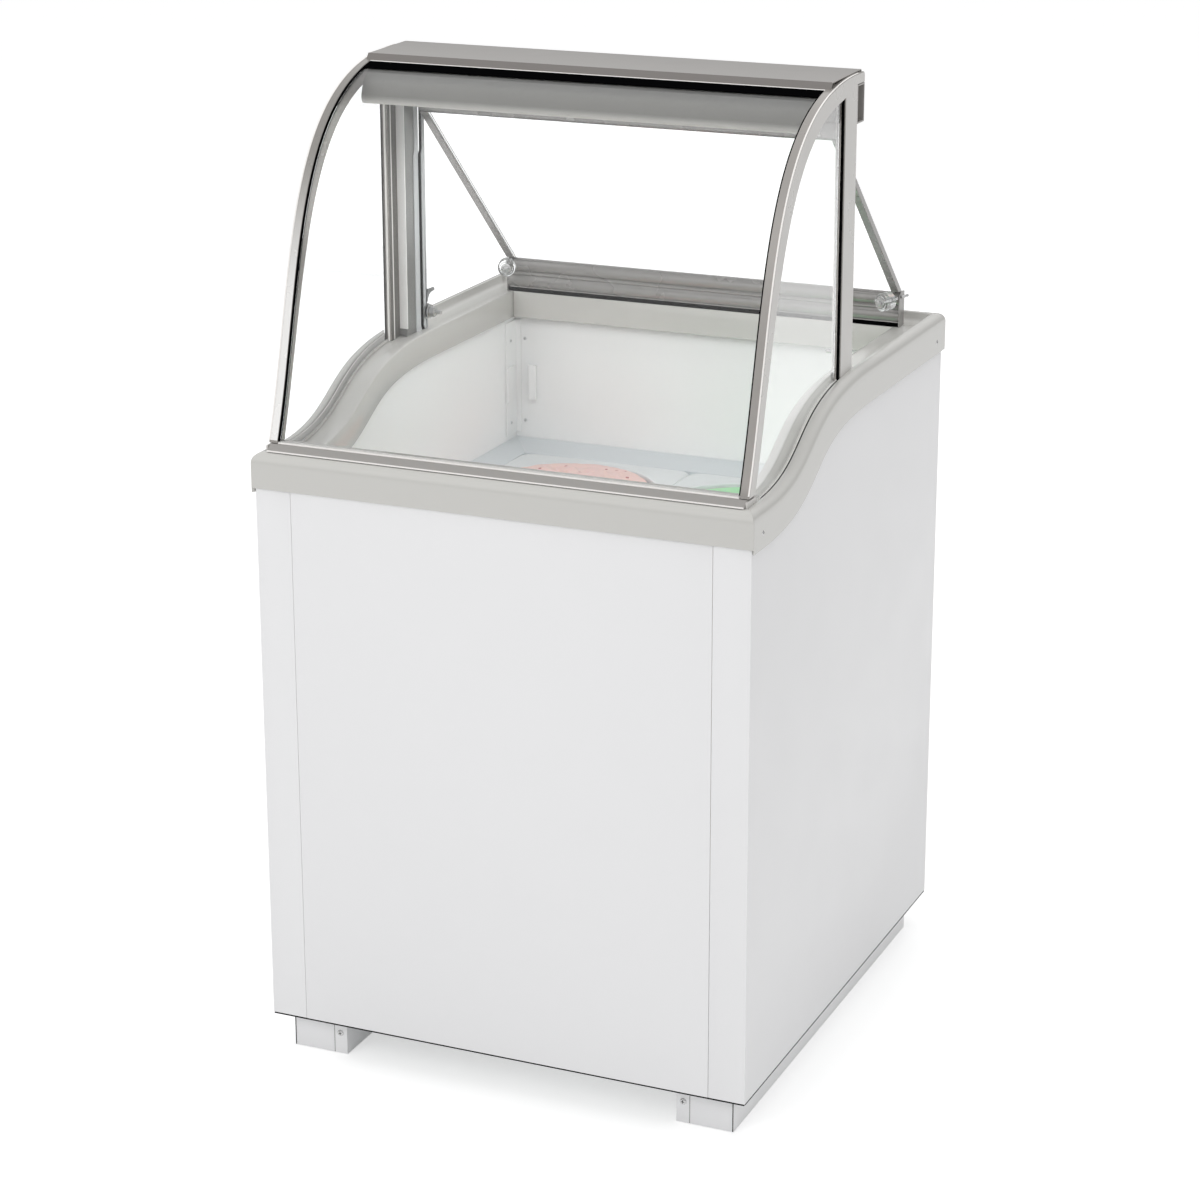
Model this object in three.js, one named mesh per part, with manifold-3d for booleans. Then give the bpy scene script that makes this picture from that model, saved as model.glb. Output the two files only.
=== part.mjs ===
// Small display chest freezer: an insulated open-top tank under a curved glass guard and canopy,
// served from behind through a sloping clear lid. Millimetres, +Z up, front faces -Y.
// Origin: middle of the footprint, on the floor.
import * as THREE from 'three';
import { mergeVertices } from 'three/addons/utils/BufferGeometryUtils.js';
import Module from 'manifold-3d';

const wasm = await Module();
wasm.setup();

// ---------------------------------------------------------------- driving dimensions
const GAP = 0.3; // between pieces that touch
const CABINET = { halfX: 336.5, halfY: 365 };
const RUNNER = { inset: 21.6, width: 78.5, front: 20, rear: 26, height: 51.6, wall: 2.5 };
const BODY = { ...CABINET, bottom: RUNNER.height + GAP, sheet: 1.5 };
const CORNER_WRAP = 49.7; // side panel folded round the front corner
const RIM_PROUD = 4.5; // the rims stand this far outside the panels
const RIM = {
  halfX: BODY.halfX + RIM_PROUD, halfY: BODY.halfY + RIM_PROUD,
  front: 827, rear: 914, skirt: 52, lip: 15.7, wall: 4,
};
const RIM_DROP = 12.5; // channel floor below the lip
const RIM_WIDTH = { side: 56, end: 68 };
const OPENING = { halfX: RIM.halfX - RIM_WIDTH.side, halfY: RIM.halfY - RIM_WIDTH.end, flange: 50 };
const TANK = {
  halfX: OPENING.halfX + 4.5, halfY: OPENING.halfY + 14.5,
  floor: 402, wall: 1.5, ledge: 642, ledgeIn: 3.5,
};
const FOAM_BOTTOM = 352;
const TUB_RADIUS = 120.5;
const COVER = {
  halfX: TANK.halfX - 27.8, halfY: TANK.halfY - 30.3, top: 668, thick: 6, corner: 18,
  hole: TUB_RADIUS + 3.5,
};
const TUB = {
  x: (COVER.halfX + GAP) / 2, y: (COVER.halfY + GAP) / 2 - 1, radius: TUB_RADIUS,
  bottom: TANK.floor + GAP, top: COVER.top - 8, wall: 1.8,
};
const FRAME_OUT = RIM.halfX - 16;
const FRAME = { out: FRAME_OUT, in: FRAME_OUT - 12, foot: RIM.front + 9.4 }; // side plates; sill top
const CHANNEL = 12; // how far the post's channel stands in from the side plate
const POST = { front: -27, back: 17.5, slot: 10, slotTop: 1267 };
const HEAD = { back: 44, top: 1291.5, under: 1277.6 };
const GLASS = { skin: 1.5, thick: 5, sideIn: FRAME.in + 4, sideOut: FRAME.out - 4 };
const BEAM = { front: 17.9, back: 44, bottom: 1228, top: 1277.2 };
const HINGE = { y: 52, z: 1224, radius: 3.6 };
const LID = { half: FRAME.in - 18.5, bar: 11, barThick: 9, pane: 4, endZ: 951.8 };
const HANDLE = { front: OPENING.halfY - 0.5, back: OPENING.halfY + 20.5, past: 0.5 };
const LID_LINE = [ // middle of the side bars
  new THREE.Vector2(38, 1203), new THREE.Vector2(HANDLE.front + 2, LID.endZ + 1.7),
];
const FAN = { x: 150, z: 190, radius: 92, hub: 17 };

// ---------------------------------------------------------------- materials
const finish = (color, roughness, metalness = 0) => () =>
  new THREE.MeshStandardMaterial({ color, roughness, metalness });
const glazing = (color, opacity) => () =>
  new THREE.MeshStandardMaterial({ color, roughness: 0.05, transparent: true, opacity });
const WHITE_STEEL = finish(0xe8e9ea, 0.35);
const WHITE_PLASTIC = finish(0xe2e5e6, 0.45);
const GREY_PLASTIC = finish(0xc8c7c2, 0.4);
const BROWN_GREY = finish(0x98948f, 0.4, 0.5);
const DARK_GREY = finish(0x787876, 0.35, 0.5);
const GALVANISED = finish(0xb8bcbc, 0.4, 0.8);
const COPPER = finish(0xb46a42, 0.35, 0.9);
const BLACK = finish(0x151617, 0.6);
const FOAM = finish(0xe6d9a8, 0.9);
const CLEAR_GLASS = glazing(0xf2f6f5, 0.25);
const LAMP_WHITE = finish(0xfafaf5, 0.3);
const icing = (color) => finish(color, 0.7);

// ---------------------------------------------------------------- solids
function solid(geometry) {
  const bare = geometry.index ? geometry.toNonIndexed() : geometry.clone();
  bare.deleteAttribute('normal');
  bare.deleteAttribute('uv');
  const merged = mergeVertices(bare, 1e-4);
  const corners = Array.from(merged.index.array);
  const triangles = [];
  for (let i = 0; i < corners.length; i += 3) {
    const [a, b, c] = corners.slice(i, i + 3);
    if (a !== b && b !== c && c !== a) triangles.push(a, b, c);
  }
  const build = (list) => new wasm.Manifold(new wasm.Mesh({
    numProp: 3,
    vertProperties: Float32Array.from(merged.attributes.position.array),
    triVerts: Uint32Array.from(list),
  }));
  const shape = build(triangles);
  if (shape.volume() > 0) return shape;
  const turned = triangles.map((_, i) => triangles[i % 3 === 0 ? i : i % 3 === 1 ? i + 1 : i - 1]);
  return build(turned);
}

function geometryOf(shape) {
  const mesh = shape.getMesh();
  const geometry = new THREE.BufferGeometry();
  const positions = new Float32Array(mesh.numVert * 3);
  for (let i = 0; i < mesh.numVert; i++) {
    for (let k = 0; k < 3; k++) positions[3 * i + k] = mesh.vertProperties[mesh.numProp * i + k];
  }
  geometry.setAttribute('position', new THREE.BufferAttribute(positions, 3));
  geometry.setIndex(Array.from(mesh.triVerts));
  geometry.computeVertexNormals();
  return geometry;
}

const join = (...shapes) => shapes.reduce((sum, shape) => sum.add(shape));
const cut = (shape, ...tools) => tools.reduce((rest, tool) => rest.subtract(tool), shape);
const mirrored = (shape) => shape.mirror([1, 0, 0]);
const mirroredPair = (shape) => shape.add(mirrored(shape));
const shifted = (shape, x, y, z) => shape.translate([x, y, z]);

function block(x0, x1, y0, y1, z0, z1) {
  const box = new THREE.BoxGeometry(x1 - x0, y1 - y0, z1 - z0);
  return solid(box.translate((x0 + x1) / 2, (y0 + y1) / 2, (z0 + z1) / 2));
}

function rod(axis, radius, from, to, a, b, sides = 24) {
  const bar = new THREE.CylinderGeometry(radius, radius, to - from, sides);
  const middle = (from + to) / 2;
  if (axis === 'x') return solid(bar.rotateZ(Math.PI / 2).translate(middle, a, b));
  if (axis === 'y') return solid(bar.translate(a, middle, b));
  return solid(bar.rotateX(Math.PI / 2).translate(a, b, middle));
}

const AXES = {
  x: new THREE.Matrix4().makeBasis(
    new THREE.Vector3(0, 1, 0), new THREE.Vector3(0, 0, 1), new THREE.Vector3(1, 0, 0)),
  y: new THREE.Matrix4().makeBasis(
    new THREE.Vector3(1, 0, 0), new THREE.Vector3(0, 0, 1), new THREE.Vector3(0, -1, 0)),
  z: new THREE.Matrix4(),
};

// An outline drawn in the plane across an axis and carried along it: (y, z) for x, (x, z) for y.
function prism(axis, outline, from, to) {
  const shape = outline instanceof THREE.Shape ? outline : new THREE.Shape(toPoints(outline));
  const depth = to - from;
  const geometry = new THREE.ExtrudeGeometry(shape, { depth, bevelEnabled: false, curveSegments: 5 });
  geometry.applyMatrix4(AXES[axis]);
  if (axis === 'x') geometry.translate(from, 0, 0);
  if (axis === 'y') geometry.translate(0, to, 0);
  if (axis === 'z') geometry.translate(0, 0, from);
  return solid(geometry);
}

const toPoints = (list) => list.map((p) => (p.isVector2 ? p : new THREE.Vector2(p[0], p[1])));

function circle(x, y, radius, steps) {
  const angles = Array.from({ length: steps }, (_, i) => (-2 * Math.PI * i) / steps);
  return angles.map((a) => new THREE.Vector2(x + radius * Math.cos(a), y + radius * Math.sin(a)));
}

function turned(profile, x, y, sides = 36) {
  const lathe = new THREE.LatheGeometry(toPoints(profile), sides);
  return solid(lathe.rotateX(Math.PI / 2).translate(x, y, 0));
}

function roundedPlate(x0, x1, y0, y1, radius) {
  const shape = new THREE.Shape();
  shape.moveTo(x0 + radius, y0);
  shape.absarc(x1 - radius, y0 + radius, radius, -Math.PI / 2, 0);
  shape.absarc(x1 - radius, y1 - radius, radius, 0, Math.PI / 2);
  shape.absarc(x0 + radius, y1 - radius, radius, Math.PI / 2, Math.PI);
  shape.absarc(x0 + radius, y0 + radius, radius, Math.PI, 1.5 * Math.PI);
  return shape;
}

// A sheet of constant thickness folded along a line of points, as an outline.
function folded(points, thick) {
  const line = toPoints(points);
  const side = (shift) => line.map((p, i) => {
    const before = line[Math.max(i - 1, 0)];
    const after = line[Math.min(i + 1, line.length - 1)];
    const run = after.clone().sub(before).normalize();
    return new THREE.Vector2(p.x - run.y * shift, p.y + run.x * shift);
  });
  return [...side(0), ...side(thick).reverse()];
}

// ---------------------------------------------------------------- the S-curve of the side rims
const rimPath = new THREE.CurvePath();
const RISE = { start: 41.5 - RIM.halfY, end: 50 };
const RISE_RUN = RISE.end - RISE.start;
const RISE_PULL = { start: (RISE_RUN * 97) / 189, end: (RISE_RUN * 257) / 378 };
const at = (y, z) => new THREE.Vector3(0, y, z);
rimPath.add(new THREE.LineCurve3(at(-RIM.halfY, RIM.front), at(RISE.start, RIM.front)));
rimPath.add(new THREE.CubicBezierCurve3(
  at(RISE.start, RIM.front), at(RISE.start + RISE_PULL.start, RIM.front),
  at(RISE.end - RISE_PULL.end, RIM.rear), at(RISE.end, RIM.rear)));
rimPath.add(new THREE.LineCurve3(at(RISE.end, RIM.rear), at(RIM.halfY, RIM.rear)));
const RIM_STEPS = 24;

// Points (y, z) of the lip line moved by "rise" square to it, between two depths y.
function rimLine(rise, from = -RIM.halfY, to = RIM.halfY) {
  const points = [];
  for (let i = 0; i <= RIM_STEPS; i++) {
    const p = rimPath.getPointAt(i / RIM_STEPS);
    const run = rimPath.getTangentAt(i / RIM_STEPS);
    points.push(new THREE.Vector2(p.y - run.z * rise, p.z + run.y * rise));
  }
  const inside = points.filter((p) => p.x > from + 1 && p.x < to - 1);
  const heightAt = (y) => {
    const k = Math.min(Math.max(points.findIndex((p) => p.x >= y), 1), points.length - 1);
    const [a, b] = [points[k - 1], points[k]];
    return a.y + ((b.y - a.y) * (y - a.x)) / (b.x - a.x);
  };
  return [new THREE.Vector2(from, heightAt(from)), ...inside, new THREE.Vector2(to, heightAt(to))];
}

const CLEAR_TOP = 1400;
function above(rise, halfX) {
  const reach = RIM.halfY + 5;
  const line = rimLine(rise).map((p) => p.clone());
  line[0].x = -reach;
  line[line.length - 1].x = reach;
  return prism('x', [...line, [reach, CLEAR_TOP], [-reach, CLEAR_TOP]], -halfX, halfX);
}

// ---------------------------------------------------------------- base
function runner() {
  const { width, height, wall } = RUNNER;
  const [front, rear] = [RUNNER.front - BODY.halfY, BODY.halfY - RUNNER.rear];
  const outer = BODY.halfX - RUNNER.inset;
  const inner = outer - width;
  const shell = block(inner, outer, front, rear, 0, height);
  return cut(shell, block(inner + wall, outer - wall, front - 1, rear + 1, wall, height - wall));
}

function runnerCap() {
  const { width, height, wall } = RUNNER;
  const front = RUNNER.front - BODY.halfY;
  const outer = BODY.halfX - RUNNER.inset;
  const plug = block(outer - width + wall + GAP, outer - wall - GAP, front, front + 18,
    wall + GAP, height - wall - GAP);
  const face = block(outer - width, outer, front - 1.5, front - GAP, 0.5, height - 0.5);
  const link = block(outer - width + 8, outer - 8, front - 1, front + 1, 8, height - 8);
  const back = block(outer - width + 5, outer - 5, front + 2, front + 20, 6, height - 6);
  return cut(join(plug, face, link), back);
}

function basePan() {
  const { halfX, halfY, bottom, sheet } = BODY;
  const x = halfX - sheet - GAP;
  const y = halfY - sheet - GAP;
  const tray = block(-x, x, -y, y, bottom, bottom + 16);
  const pocket = block(-x + sheet, x - sheet, -y + sheet, y - sheet, bottom + 2, bottom + 20);
  const inlet = (k) => block(-200, 20, -250 + k * 26, -238 + k * 26, bottom - 1, bottom + 3);
  return cut(tray, pocket, ...[0, 1, 2, 3, 4].map(inlet));
}

// ---------------------------------------------------------------- outer panels
function sidePanel() {
  const { halfX, halfY, bottom, sheet } = BODY;
  const top = rimLine(-20, -halfY, halfY);
  const side = prism('x', [[-halfY, bottom], ...[...top], [halfY, bottom]], halfX - sheet, halfX);
  const wrap = block(halfX - CORNER_WRAP, halfX, -halfY, -halfY + sheet, bottom, RIM.front - 20);
  return join(side, wrap);
}

function frontPanel() {
  const edge = BODY.halfX - CORNER_WRAP - GAP;
  return block(-edge, edge, -BODY.halfY, -BODY.halfY + BODY.sheet, BODY.bottom, RIM.front - 20);
}

const GRILLE_TOP = 344;
function rearPanel() {
  const edge = BODY.halfX - BODY.sheet - GAP;
  return block(-edge, edge, BODY.halfY - BODY.sheet, BODY.halfY, GRILLE_TOP + GAP, RIM.rear - 20);
}

const POCKET = { x0: -292, x1: -152, z0: 232, z1: 312, depth: 27, wall: 1.5 };
const GLAND = { x: -255, z: 112, radius: 9 };
const KNOB = { x: -255, z: 272, radius: 19 };
const SWITCH = { x: -188, z: 272, halfX: 11, halfZ: 16, tilt: 7 };

function serviceGrille() {
  const edge = BODY.halfX - BODY.sheet - GAP;
  const outer = BODY.halfY;
  const inner = outer - BODY.sheet;
  const sheet = block(-edge, edge, inner, outer, BODY.bottom, GRILLE_TOP);
  const { x0, x1, z0, z1, depth, wall } = POCKET;
  const cup = block(x0 - wall, x1 + wall, outer - depth - wall, outer, z0 - wall, z1 + wall);
  const hollow = block(x0, x1, outer - depth, outer + 1, z0, z1);
  const louvre = (k) => block(-60, 300, inner - 1, outer + 1, 84 + k * 26, 97 + k * 26);
  const back = outer - depth;
  const keyHalf = SWITCH.halfX + GAP;
  const keyhole = block(SWITCH.x - keyHalf, SWITCH.x + keyHalf, back - 3, back + 1,
    SWITCH.z - SWITCH.halfZ - 1, SWITCH.z + SWITCH.halfZ + 1);
  const spindle = rod('y', 5, back - 3, back + 1, KNOB.x, KNOB.z);
  const gland = rod('y', GLAND.radius, inner - 1, outer + 1, GLAND.x, GLAND.z);
  const louvres = [0, 1, 2, 3, 4, 5, 6, 7].map(louvre);
  return cut(join(sheet, cup), hollow, keyhole, spindle, gland, ...louvres);
}

// ---------------------------------------------------------------- tank and insulation
function tankLiner() {
  const { halfX, halfY, floor, wall, ledge, ledgeIn } = TANK;
  const shell = block(-halfX - wall, halfX + wall, -halfY - wall, halfY + wall, floor - wall, RIM.rear);
  const upper = block(-halfX, halfX, -halfY, halfY, ledge, RIM.rear + 1);
  const lower = block(-halfX + ledgeIn, halfX - ledgeIn, -halfY + ledgeIn, halfY - ledgeIn,
    floor, ledge + 1);
  return cut(shell, upper, lower, above(-RIM_DROP - RIM.wall - 3, halfX + 10));
}

const COIL = { radius: 4.2, offset: 6.9, turns: 4, top: 796, pitch: 64, bend: 12 };
function foamInsulation() {
  const x = BODY.halfX - BODY.sheet - GAP;
  const y = BODY.halfY - BODY.sheet - GAP;
  const tankX = TANK.halfX + TANK.wall + GAP;
  const tankY = TANK.halfY + TANK.wall + GAP;
  const room = COIL.offset + COIL.radius;
  const outside = block(-x, x, -y, y, FOAM_BOTTOM, RIM.rear);
  const tank = block(-tankX, tankX, -tankY, tankY, TANK.floor - TANK.wall - GAP, RIM.rear + 1);
  const groove = block(-tankX - room, tankX + room, -tankY - room, tankY + room,
    COIL.top - COIL.turns * COIL.pitch - 12, COIL.top + 12);
  return cut(outside, tank, groove, above(-RIM_DROP - RIM.wall - 0.5, x + 5));
}

// The tube goes round the tank in square turns with bent corners, falling as it goes.
class BentTube extends THREE.Curve {
  constructor(points) {
    super();
    this.points = points;
  }
  getPointAt(u) {
    return this.points[Math.round(u * (this.points.length - 1))].clone();
  }
  getTangentAt(u) {
    const i = Math.round(u * (this.points.length - 1));
    const before = this.points[Math.max(i - 1, 0)];
    const after = this.points[Math.min(i + 1, this.points.length - 1)];
    return after.clone().sub(before).normalize();
  }
}

function evaporatorTube() {
  const x = TANK.halfX + TANK.wall + COIL.offset;
  const y = TANK.halfY + TANK.wall + COIL.offset;
  const corners = [[1, -1], [1, 1], [-1, 1], [-1, -1]];
  const points = [];
  let height = COIL.top;
  for (let turn = 0; turn < COIL.turns; turn++) {
    for (const [sx, sy] of corners) {
      const centre = new THREE.Vector2(sx * (x - COIL.bend), sy * (y - COIL.bend));
      const start = Math.atan2(sy, sx) - Math.PI / 4;
      for (let k = 0; k <= 2; k++) {
        const angle = start + (k / 2) * (Math.PI / 2);
        points.push(new THREE.Vector3(
          centre.x + COIL.bend * Math.cos(angle), centre.y + COIL.bend * Math.sin(angle), height));
      }
      height -= COIL.pitch / 4;
    }
  }
  const section = new THREE.Shape();
  section.absarc(0, 0, COIL.radius, 0, 2 * Math.PI);
  const tube = new THREE.ExtrudeGeometry(section, {
    steps: points.length - 1, curveSegments: 4, extrudePath: new BentTube(points) });
  return solid(tube);
}

// A square ring turned in four sides; its end flanges are wider than its side ones by a fixed ratio.
const END_FLANGE = 315.7 / 289.2;
function supportFrame() {
  const half = TANK.halfX - GAP;
  const foot = TANK.ledge + 0.4;
  const coverUnder = COVER.top - COVER.thick - 0.4;
  const lip = COVER.halfX + GAP;
  const profile = [
    [half, foot], [half, COVER.top + 15], [half - 2.5, COVER.top + 15], [lip, COVER.top],
    [lip, coverUnder], [lip - 8, coverUnder], [lip - 8, coverUnder - 4], [half - 24, coverUnder - 4],
    [half - 24, foot], [half, foot],
  ].map(([r, z]) => [r * Math.SQRT2, z]);
  const ring = new THREE.LatheGeometry(toPoints(profile), 4);
  ring.rotateX(Math.PI / 2).rotateZ(Math.PI / 4);
  const corner = ring.getAttribute('position');
  const lengthen = TANK.halfY - GAP - half * END_FLANGE;
  for (let i = 0; i < corner.count; i++) {
    const y = corner.getY(i);
    corner.setY(i, y * END_FLANGE + Math.sign(y) * lengthen);
  }
  const reachX = half - 20;
  const reachY = TANK.halfY - 24;
  const barX = block(-reachX, reachX, -7, 7, coverUnder - 12, coverUnder);
  const barY = block(-7, 7, -reachY, reachY, coverUnder - 12, coverUnder);
  return join(solid(ring), barX, barY);
}

function tubCover(sx, sy) {
  const { halfX, halfY, top, thick, corner, hole } = COVER;
  const outline = roundedPlate(GAP, halfX, GAP, halfY, corner);
  const opening = new THREE.Path(circle(TUB.x, TUB.y, hole, 40));
  outline.holes.push(opening);
  let plate = prism('z', outline, top - thick, top);
  if (sx < 0) plate = plate.mirror([1, 0, 0]);
  if (sy < 0) plate = plate.mirror([0, 1, 0]);
  return plate;
}

function tub(sx, sy) {
  const { radius, bottom, top, wall, x, y } = TUB;
  return turned([
    [0, bottom], [radius, bottom], [radius, top - 4], [radius + 1.6, top - 4], [radius + 1.6, top],
    [radius - wall, top], [radius - wall, bottom + wall], [0, bottom + wall],
  ], sx * x, sy * y);
}

// The mass slumps towards the tub's wall, so a heaped one stays clear of the cover's hole.
function iceCream(sx, sy, level) {
  const inner = TUB.radius - TUB.wall - GAP;
  const floor = TUB.bottom + TUB.wall + GAP;
  return turned([
    [0, floor], [inner, floor], [inner, level - 12], [inner * 0.94, level - 7], [inner * 0.85, level - 1],
    [inner * 0.5, level + 2], [0, level + 3],
  ], sx * TUB.x, sy * TUB.y);
}

function cornerStrip() {
  const x = TANK.halfX - GAP;
  const back = TANK.halfY - GAP;
  const side = block(x - 1.8, x, back - 36, back, COVER.top + 22, 858);
  const rear = block(x - 9, x, back - 1.8, back, COVER.top + 22, 858);
  return join(side, rear);
}

// ---------------------------------------------------------------- machine compartment
const DECK = BODY.bottom + 2 + GAP;

function compressor() {
  const pot = turned([
    [0, DECK + 16], [78, DECK + 16], [84, DECK + 24], [84, DECK + 92], [80, DECK + 102],
    [84, DECK + 108], [82, DECK + 140], [66, DECK + 162], [30, DECK + 172], [0, DECK + 173],
  ], -140, -40, 24);
  const plate = block(-235, -45, -100, 20, DECK + 10, DECK + 20);
  const foot = (x, y) => rod('z', 11, DECK, DECK + 12, x, y, 16);
  const pipe = rod('z', 5, DECK + 150, DECK + 196, -110, -40, 12);
  return join(pot, plate, foot(-220, -85), foot(-60, -85), foot(-220, 5), foot(-60, 5), pipe);
}

const CONDENSER = { x0: 30, x1: 280, y0: BODY.halfY - 65, y1: BODY.halfY - 20, z1: 318 };
function condenser() {
  const { x0, x1, y0, y1, z1 } = CONDENSER;
  const fins = block(x0 + 6, x1 - 6, y0 + 4, y1 - 4, DECK + 4, z1 - 4);
  const endPlate = (x) => block(x - 7, x + 7, y0, y1, DECK, z1);
  const pass = (k) => rod('x', 5, x0 - 14, x1 + 14, (y0 + y1) / 2, DECK + 32 + k * 44, 12);
  return join(fins, endPlate(x0), endPlate(x1), ...[0, 1, 2, 3, 4].map(pass));
}

const SHROUD = { y0: CONDENSER.y0 - 38, y1: CONDENSER.y0 - 2 * GAP };
function fanShroud() {
  const { x0, x1 } = CONDENSER;
  const { y0, y1 } = SHROUD;
  const wall = block(x0, x1, y0, y0 + 2, DECK, CONDENSER.z1);
  const rims = cut(block(x0, x1, y0, y1, DECK, CONDENSER.z1),
    block(x0 + 2, x1 - 2, y0 - 1, y1 + 1, DECK + 2, CONDENSER.z1 - 2));
  const throat = rod('y', FAN.radius + 4, y0 - 5, y0 + 5, FAN.x, FAN.z, 40);
  const arm = (z) => block(x0 + 4, x1 - 4, y0 - 52, y0 - 49, z - 8, z + 8);
  const leg = (x) => block(x - 6, x + 6, y0 - 52, y0 + 1, FAN.z - 8, FAN.z + 8);
  return join(cut(join(wall, rims), throat), arm(FAN.z), leg(x0 + 10), leg(x1 - 10));
}

function fanMotor() {
  const y = SHROUD.y0 - 49 + GAP;
  const can = rod('y', 34, y, y + 32, FAN.x, FAN.z, 28);
  return join(can, rod('y', 4, y + 30, y + 52, FAN.x, FAN.z, 16));
}

function fanBlade() {
  const y = SHROUD.y0 - 8;
  const hub = rod('y', FAN.hub, y, y + 16, FAN.x, FAN.z, 24);
  const vane = (k) => {
    const leaf = new THREE.BoxGeometry(44, 2, FAN.radius - 14);
    leaf.rotateZ(0.45).translate(0, 0, (FAN.radius + 10) / 2);
    leaf.rotateY((k * Math.PI) / 2).translate(FAN.x, y + 8, FAN.z);
    return solid(leaf);
  };
  const bore = rod('y', 4.5, y - 1, y + 13, FAN.x, FAN.z, 16);
  return cut(join(hub, vane(0), vane(1), vane(2), vane(3)), bore);
}

function controlBox() {
  const back = BODY.halfY - POCKET.depth - POCKET.wall - GAP;
  const body = block(-300, -145, back - 75, back, DECK, 320);
  const { x, z, halfX, halfZ } = SWITCH;
  const well = block(x - halfX - 2, x + halfX + 2, back - 24, back + 1, z - halfZ - 2, z + halfZ + 2);
  const spindleWell = rod('y', 5, back - 20, back + 1, KNOB.x, KNOB.z);
  return cut(body, well, spindleWell);
}

function thermostatKnob() {
  const face = BODY.halfY - POCKET.depth + 0.5;
  const dial = rod('y', KNOB.radius, face, face + 9, KNOB.x, KNOB.z, 36);
  const grip = block(KNOB.x - 4, KNOB.x + 4, face + 8, face + 20, KNOB.z - 16, KNOB.z + 16);
  return join(dial, grip, rod('y', 4.4, face - 16, face + 1, KNOB.x, KNOB.z));
}

function lampSwitch() {
  const pivotY = BODY.halfY - POCKET.depth - 2;
  const { x, z, halfX, halfZ, tilt } = SWITCH;
  const key = [
    [-6, -halfZ + 2], [3, -halfZ], [8.5, -halfZ + 1], [6, 0],
    [8.5, halfZ - 1], [3, halfZ], [-6, halfZ - 2], [-12, 0],
  ];
  return shifted(prism('x', key, x - halfX, x + halfX).rotate([-tilt, 0, 0]), 0, pivotY, z);
}

function cordGland() {
  const outer = BODY.halfY;
  const neck = rod('y', GLAND.radius - GAP, outer - 22, outer + 2, GLAND.x, GLAND.z);
  const flange = rod('y', 14, outer + GAP, outer + 4, GLAND.x, GLAND.z);
  return cut(join(neck, flange), rod('y', 4.2, outer - 23, outer + 5, GLAND.x, GLAND.z));
}

// ---------------------------------------------------------------- rim mouldings
// Section of a rim: distance in from the outer face, and height from the lip line.
function rimSection(inset, skirt, flangeWall) {
  const { lip, wall } = RIM;
  const stretch = inset / (RIM.halfX - OPENING.halfX);
  return [
    [0, -skirt], [0, -7], [0.8, -3.6], [2.6, -1.2], [5.5, 0], [lip * stretch, 0],
    [lip * stretch, -RIM_DROP], [inset, -RIM_DROP], [inset, -OPENING.flange],
    [inset - flangeWall, -OPENING.flange], [inset - flangeWall, -RIM_DROP - wall],
    [wall + 0.1, -RIM_DROP - wall], [wall + 0.1, -skirt],
  ];
}

function sideRimBlank() {
  const inset = RIM.halfX - OPENING.halfX;
  const section = rimSection(inset, RIM.skirt, RIM.wall)
    .map(([depth, rise]) => new THREE.Vector2(-rise, -(RIM.halfX - depth)));
  const swept = new THREE.ExtrudeGeometry(new THREE.Shape(section), {
    steps: RIM_STEPS, extrudePath: rimPath });
  return solid(swept);
}

// Everything in front of (or behind) the two corner joints, as one flat-sided piece.
function mitreZone(sign) {
  const far = RIM.halfY + 20;
  const slope = (RIM.halfY - OPENING.halfY) / (RIM.halfX - OPENING.halfX);
  const reach = 60;
  const outline = [
    [-RIM.halfX - reach, sign * (RIM.halfY + reach * slope)],
    [-OPENING.halfX + reach, sign * (OPENING.halfY - reach * slope)],
    [OPENING.halfX - reach, sign * (OPENING.halfY - reach * slope)],
    [RIM.halfX + reach, sign * (RIM.halfY + reach * slope)],
    [RIM.halfX + reach, sign * (far + reach * slope)],
    [-RIM.halfX - reach, sign * (far + reach * slope)],
  ];
  return prism('z', outline, 700, CLEAR_TOP);
}

const JOINT = 0.15; // half of the hairline joint between two rims
function sideRim() {
  const front = shifted(mitreZone(-1), 0, JOINT, 0);
  const rear = shifted(mitreZone(1), 0, -JOINT, 0);
  return cut(sideRimBlank(), front, rear);
}

function endRim(sign, top, skirt) {
  const inset = RIM.halfY - OPENING.halfY;
  const section = rimSection(inset, skirt, 14)
    .map(([depth, rise]) => [sign * (RIM.halfY - depth), top + rise]);
  const bar = prism('x', section, -RIM.halfX, RIM.halfX);
  const flange = TANK.halfX - GAP;
  const underFloor = top - RIM_DROP - RIM.wall;
  const reach = TANK.halfY + 4;
  const beside = mirroredPair(block(flange, RIM.halfX - 10, -reach, reach, 700, underFloor));
  return cut(bar.intersect(shifted(mitreZone(sign), 0, sign * JOINT, 0)), beside);
}

// ---------------------------------------------------------------- glass guard
const BAR = { front: 19.5 - RIM.halfY, inner: 41.5 - RIM.halfY, foot: RIM.front + 2 };
const barFront = new THREE.CubicBezierCurve(
  new THREE.Vector2(BAR.front, BAR.foot), new THREE.Vector2(BAR.front + 83.5, 1045.5),
  new THREE.Vector2(BAR.front + 60, 1293), new THREE.Vector2(20, HEAD.top));
const barInner = new THREE.CubicBezierCurve(
  new THREE.Vector2(BAR.inner, BAR.foot), new THREE.Vector2(BAR.inner + 71, 1035),
  new THREE.Vector2(BAR.inner + 82, 1240), new THREE.Vector2(POST.front - POST.slot, 1264.5));

function along(curve, rise, steps = 22) {
  const points = [];
  for (let i = 0; i <= steps; i++) {
    const p = curve.getPoint(i / steps);
    const run = curve.getTangent(i / steps);
    points.push(new THREE.Vector2(p.x - run.y * rise, p.y + run.x * rise));
  }
  return points;
}

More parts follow.
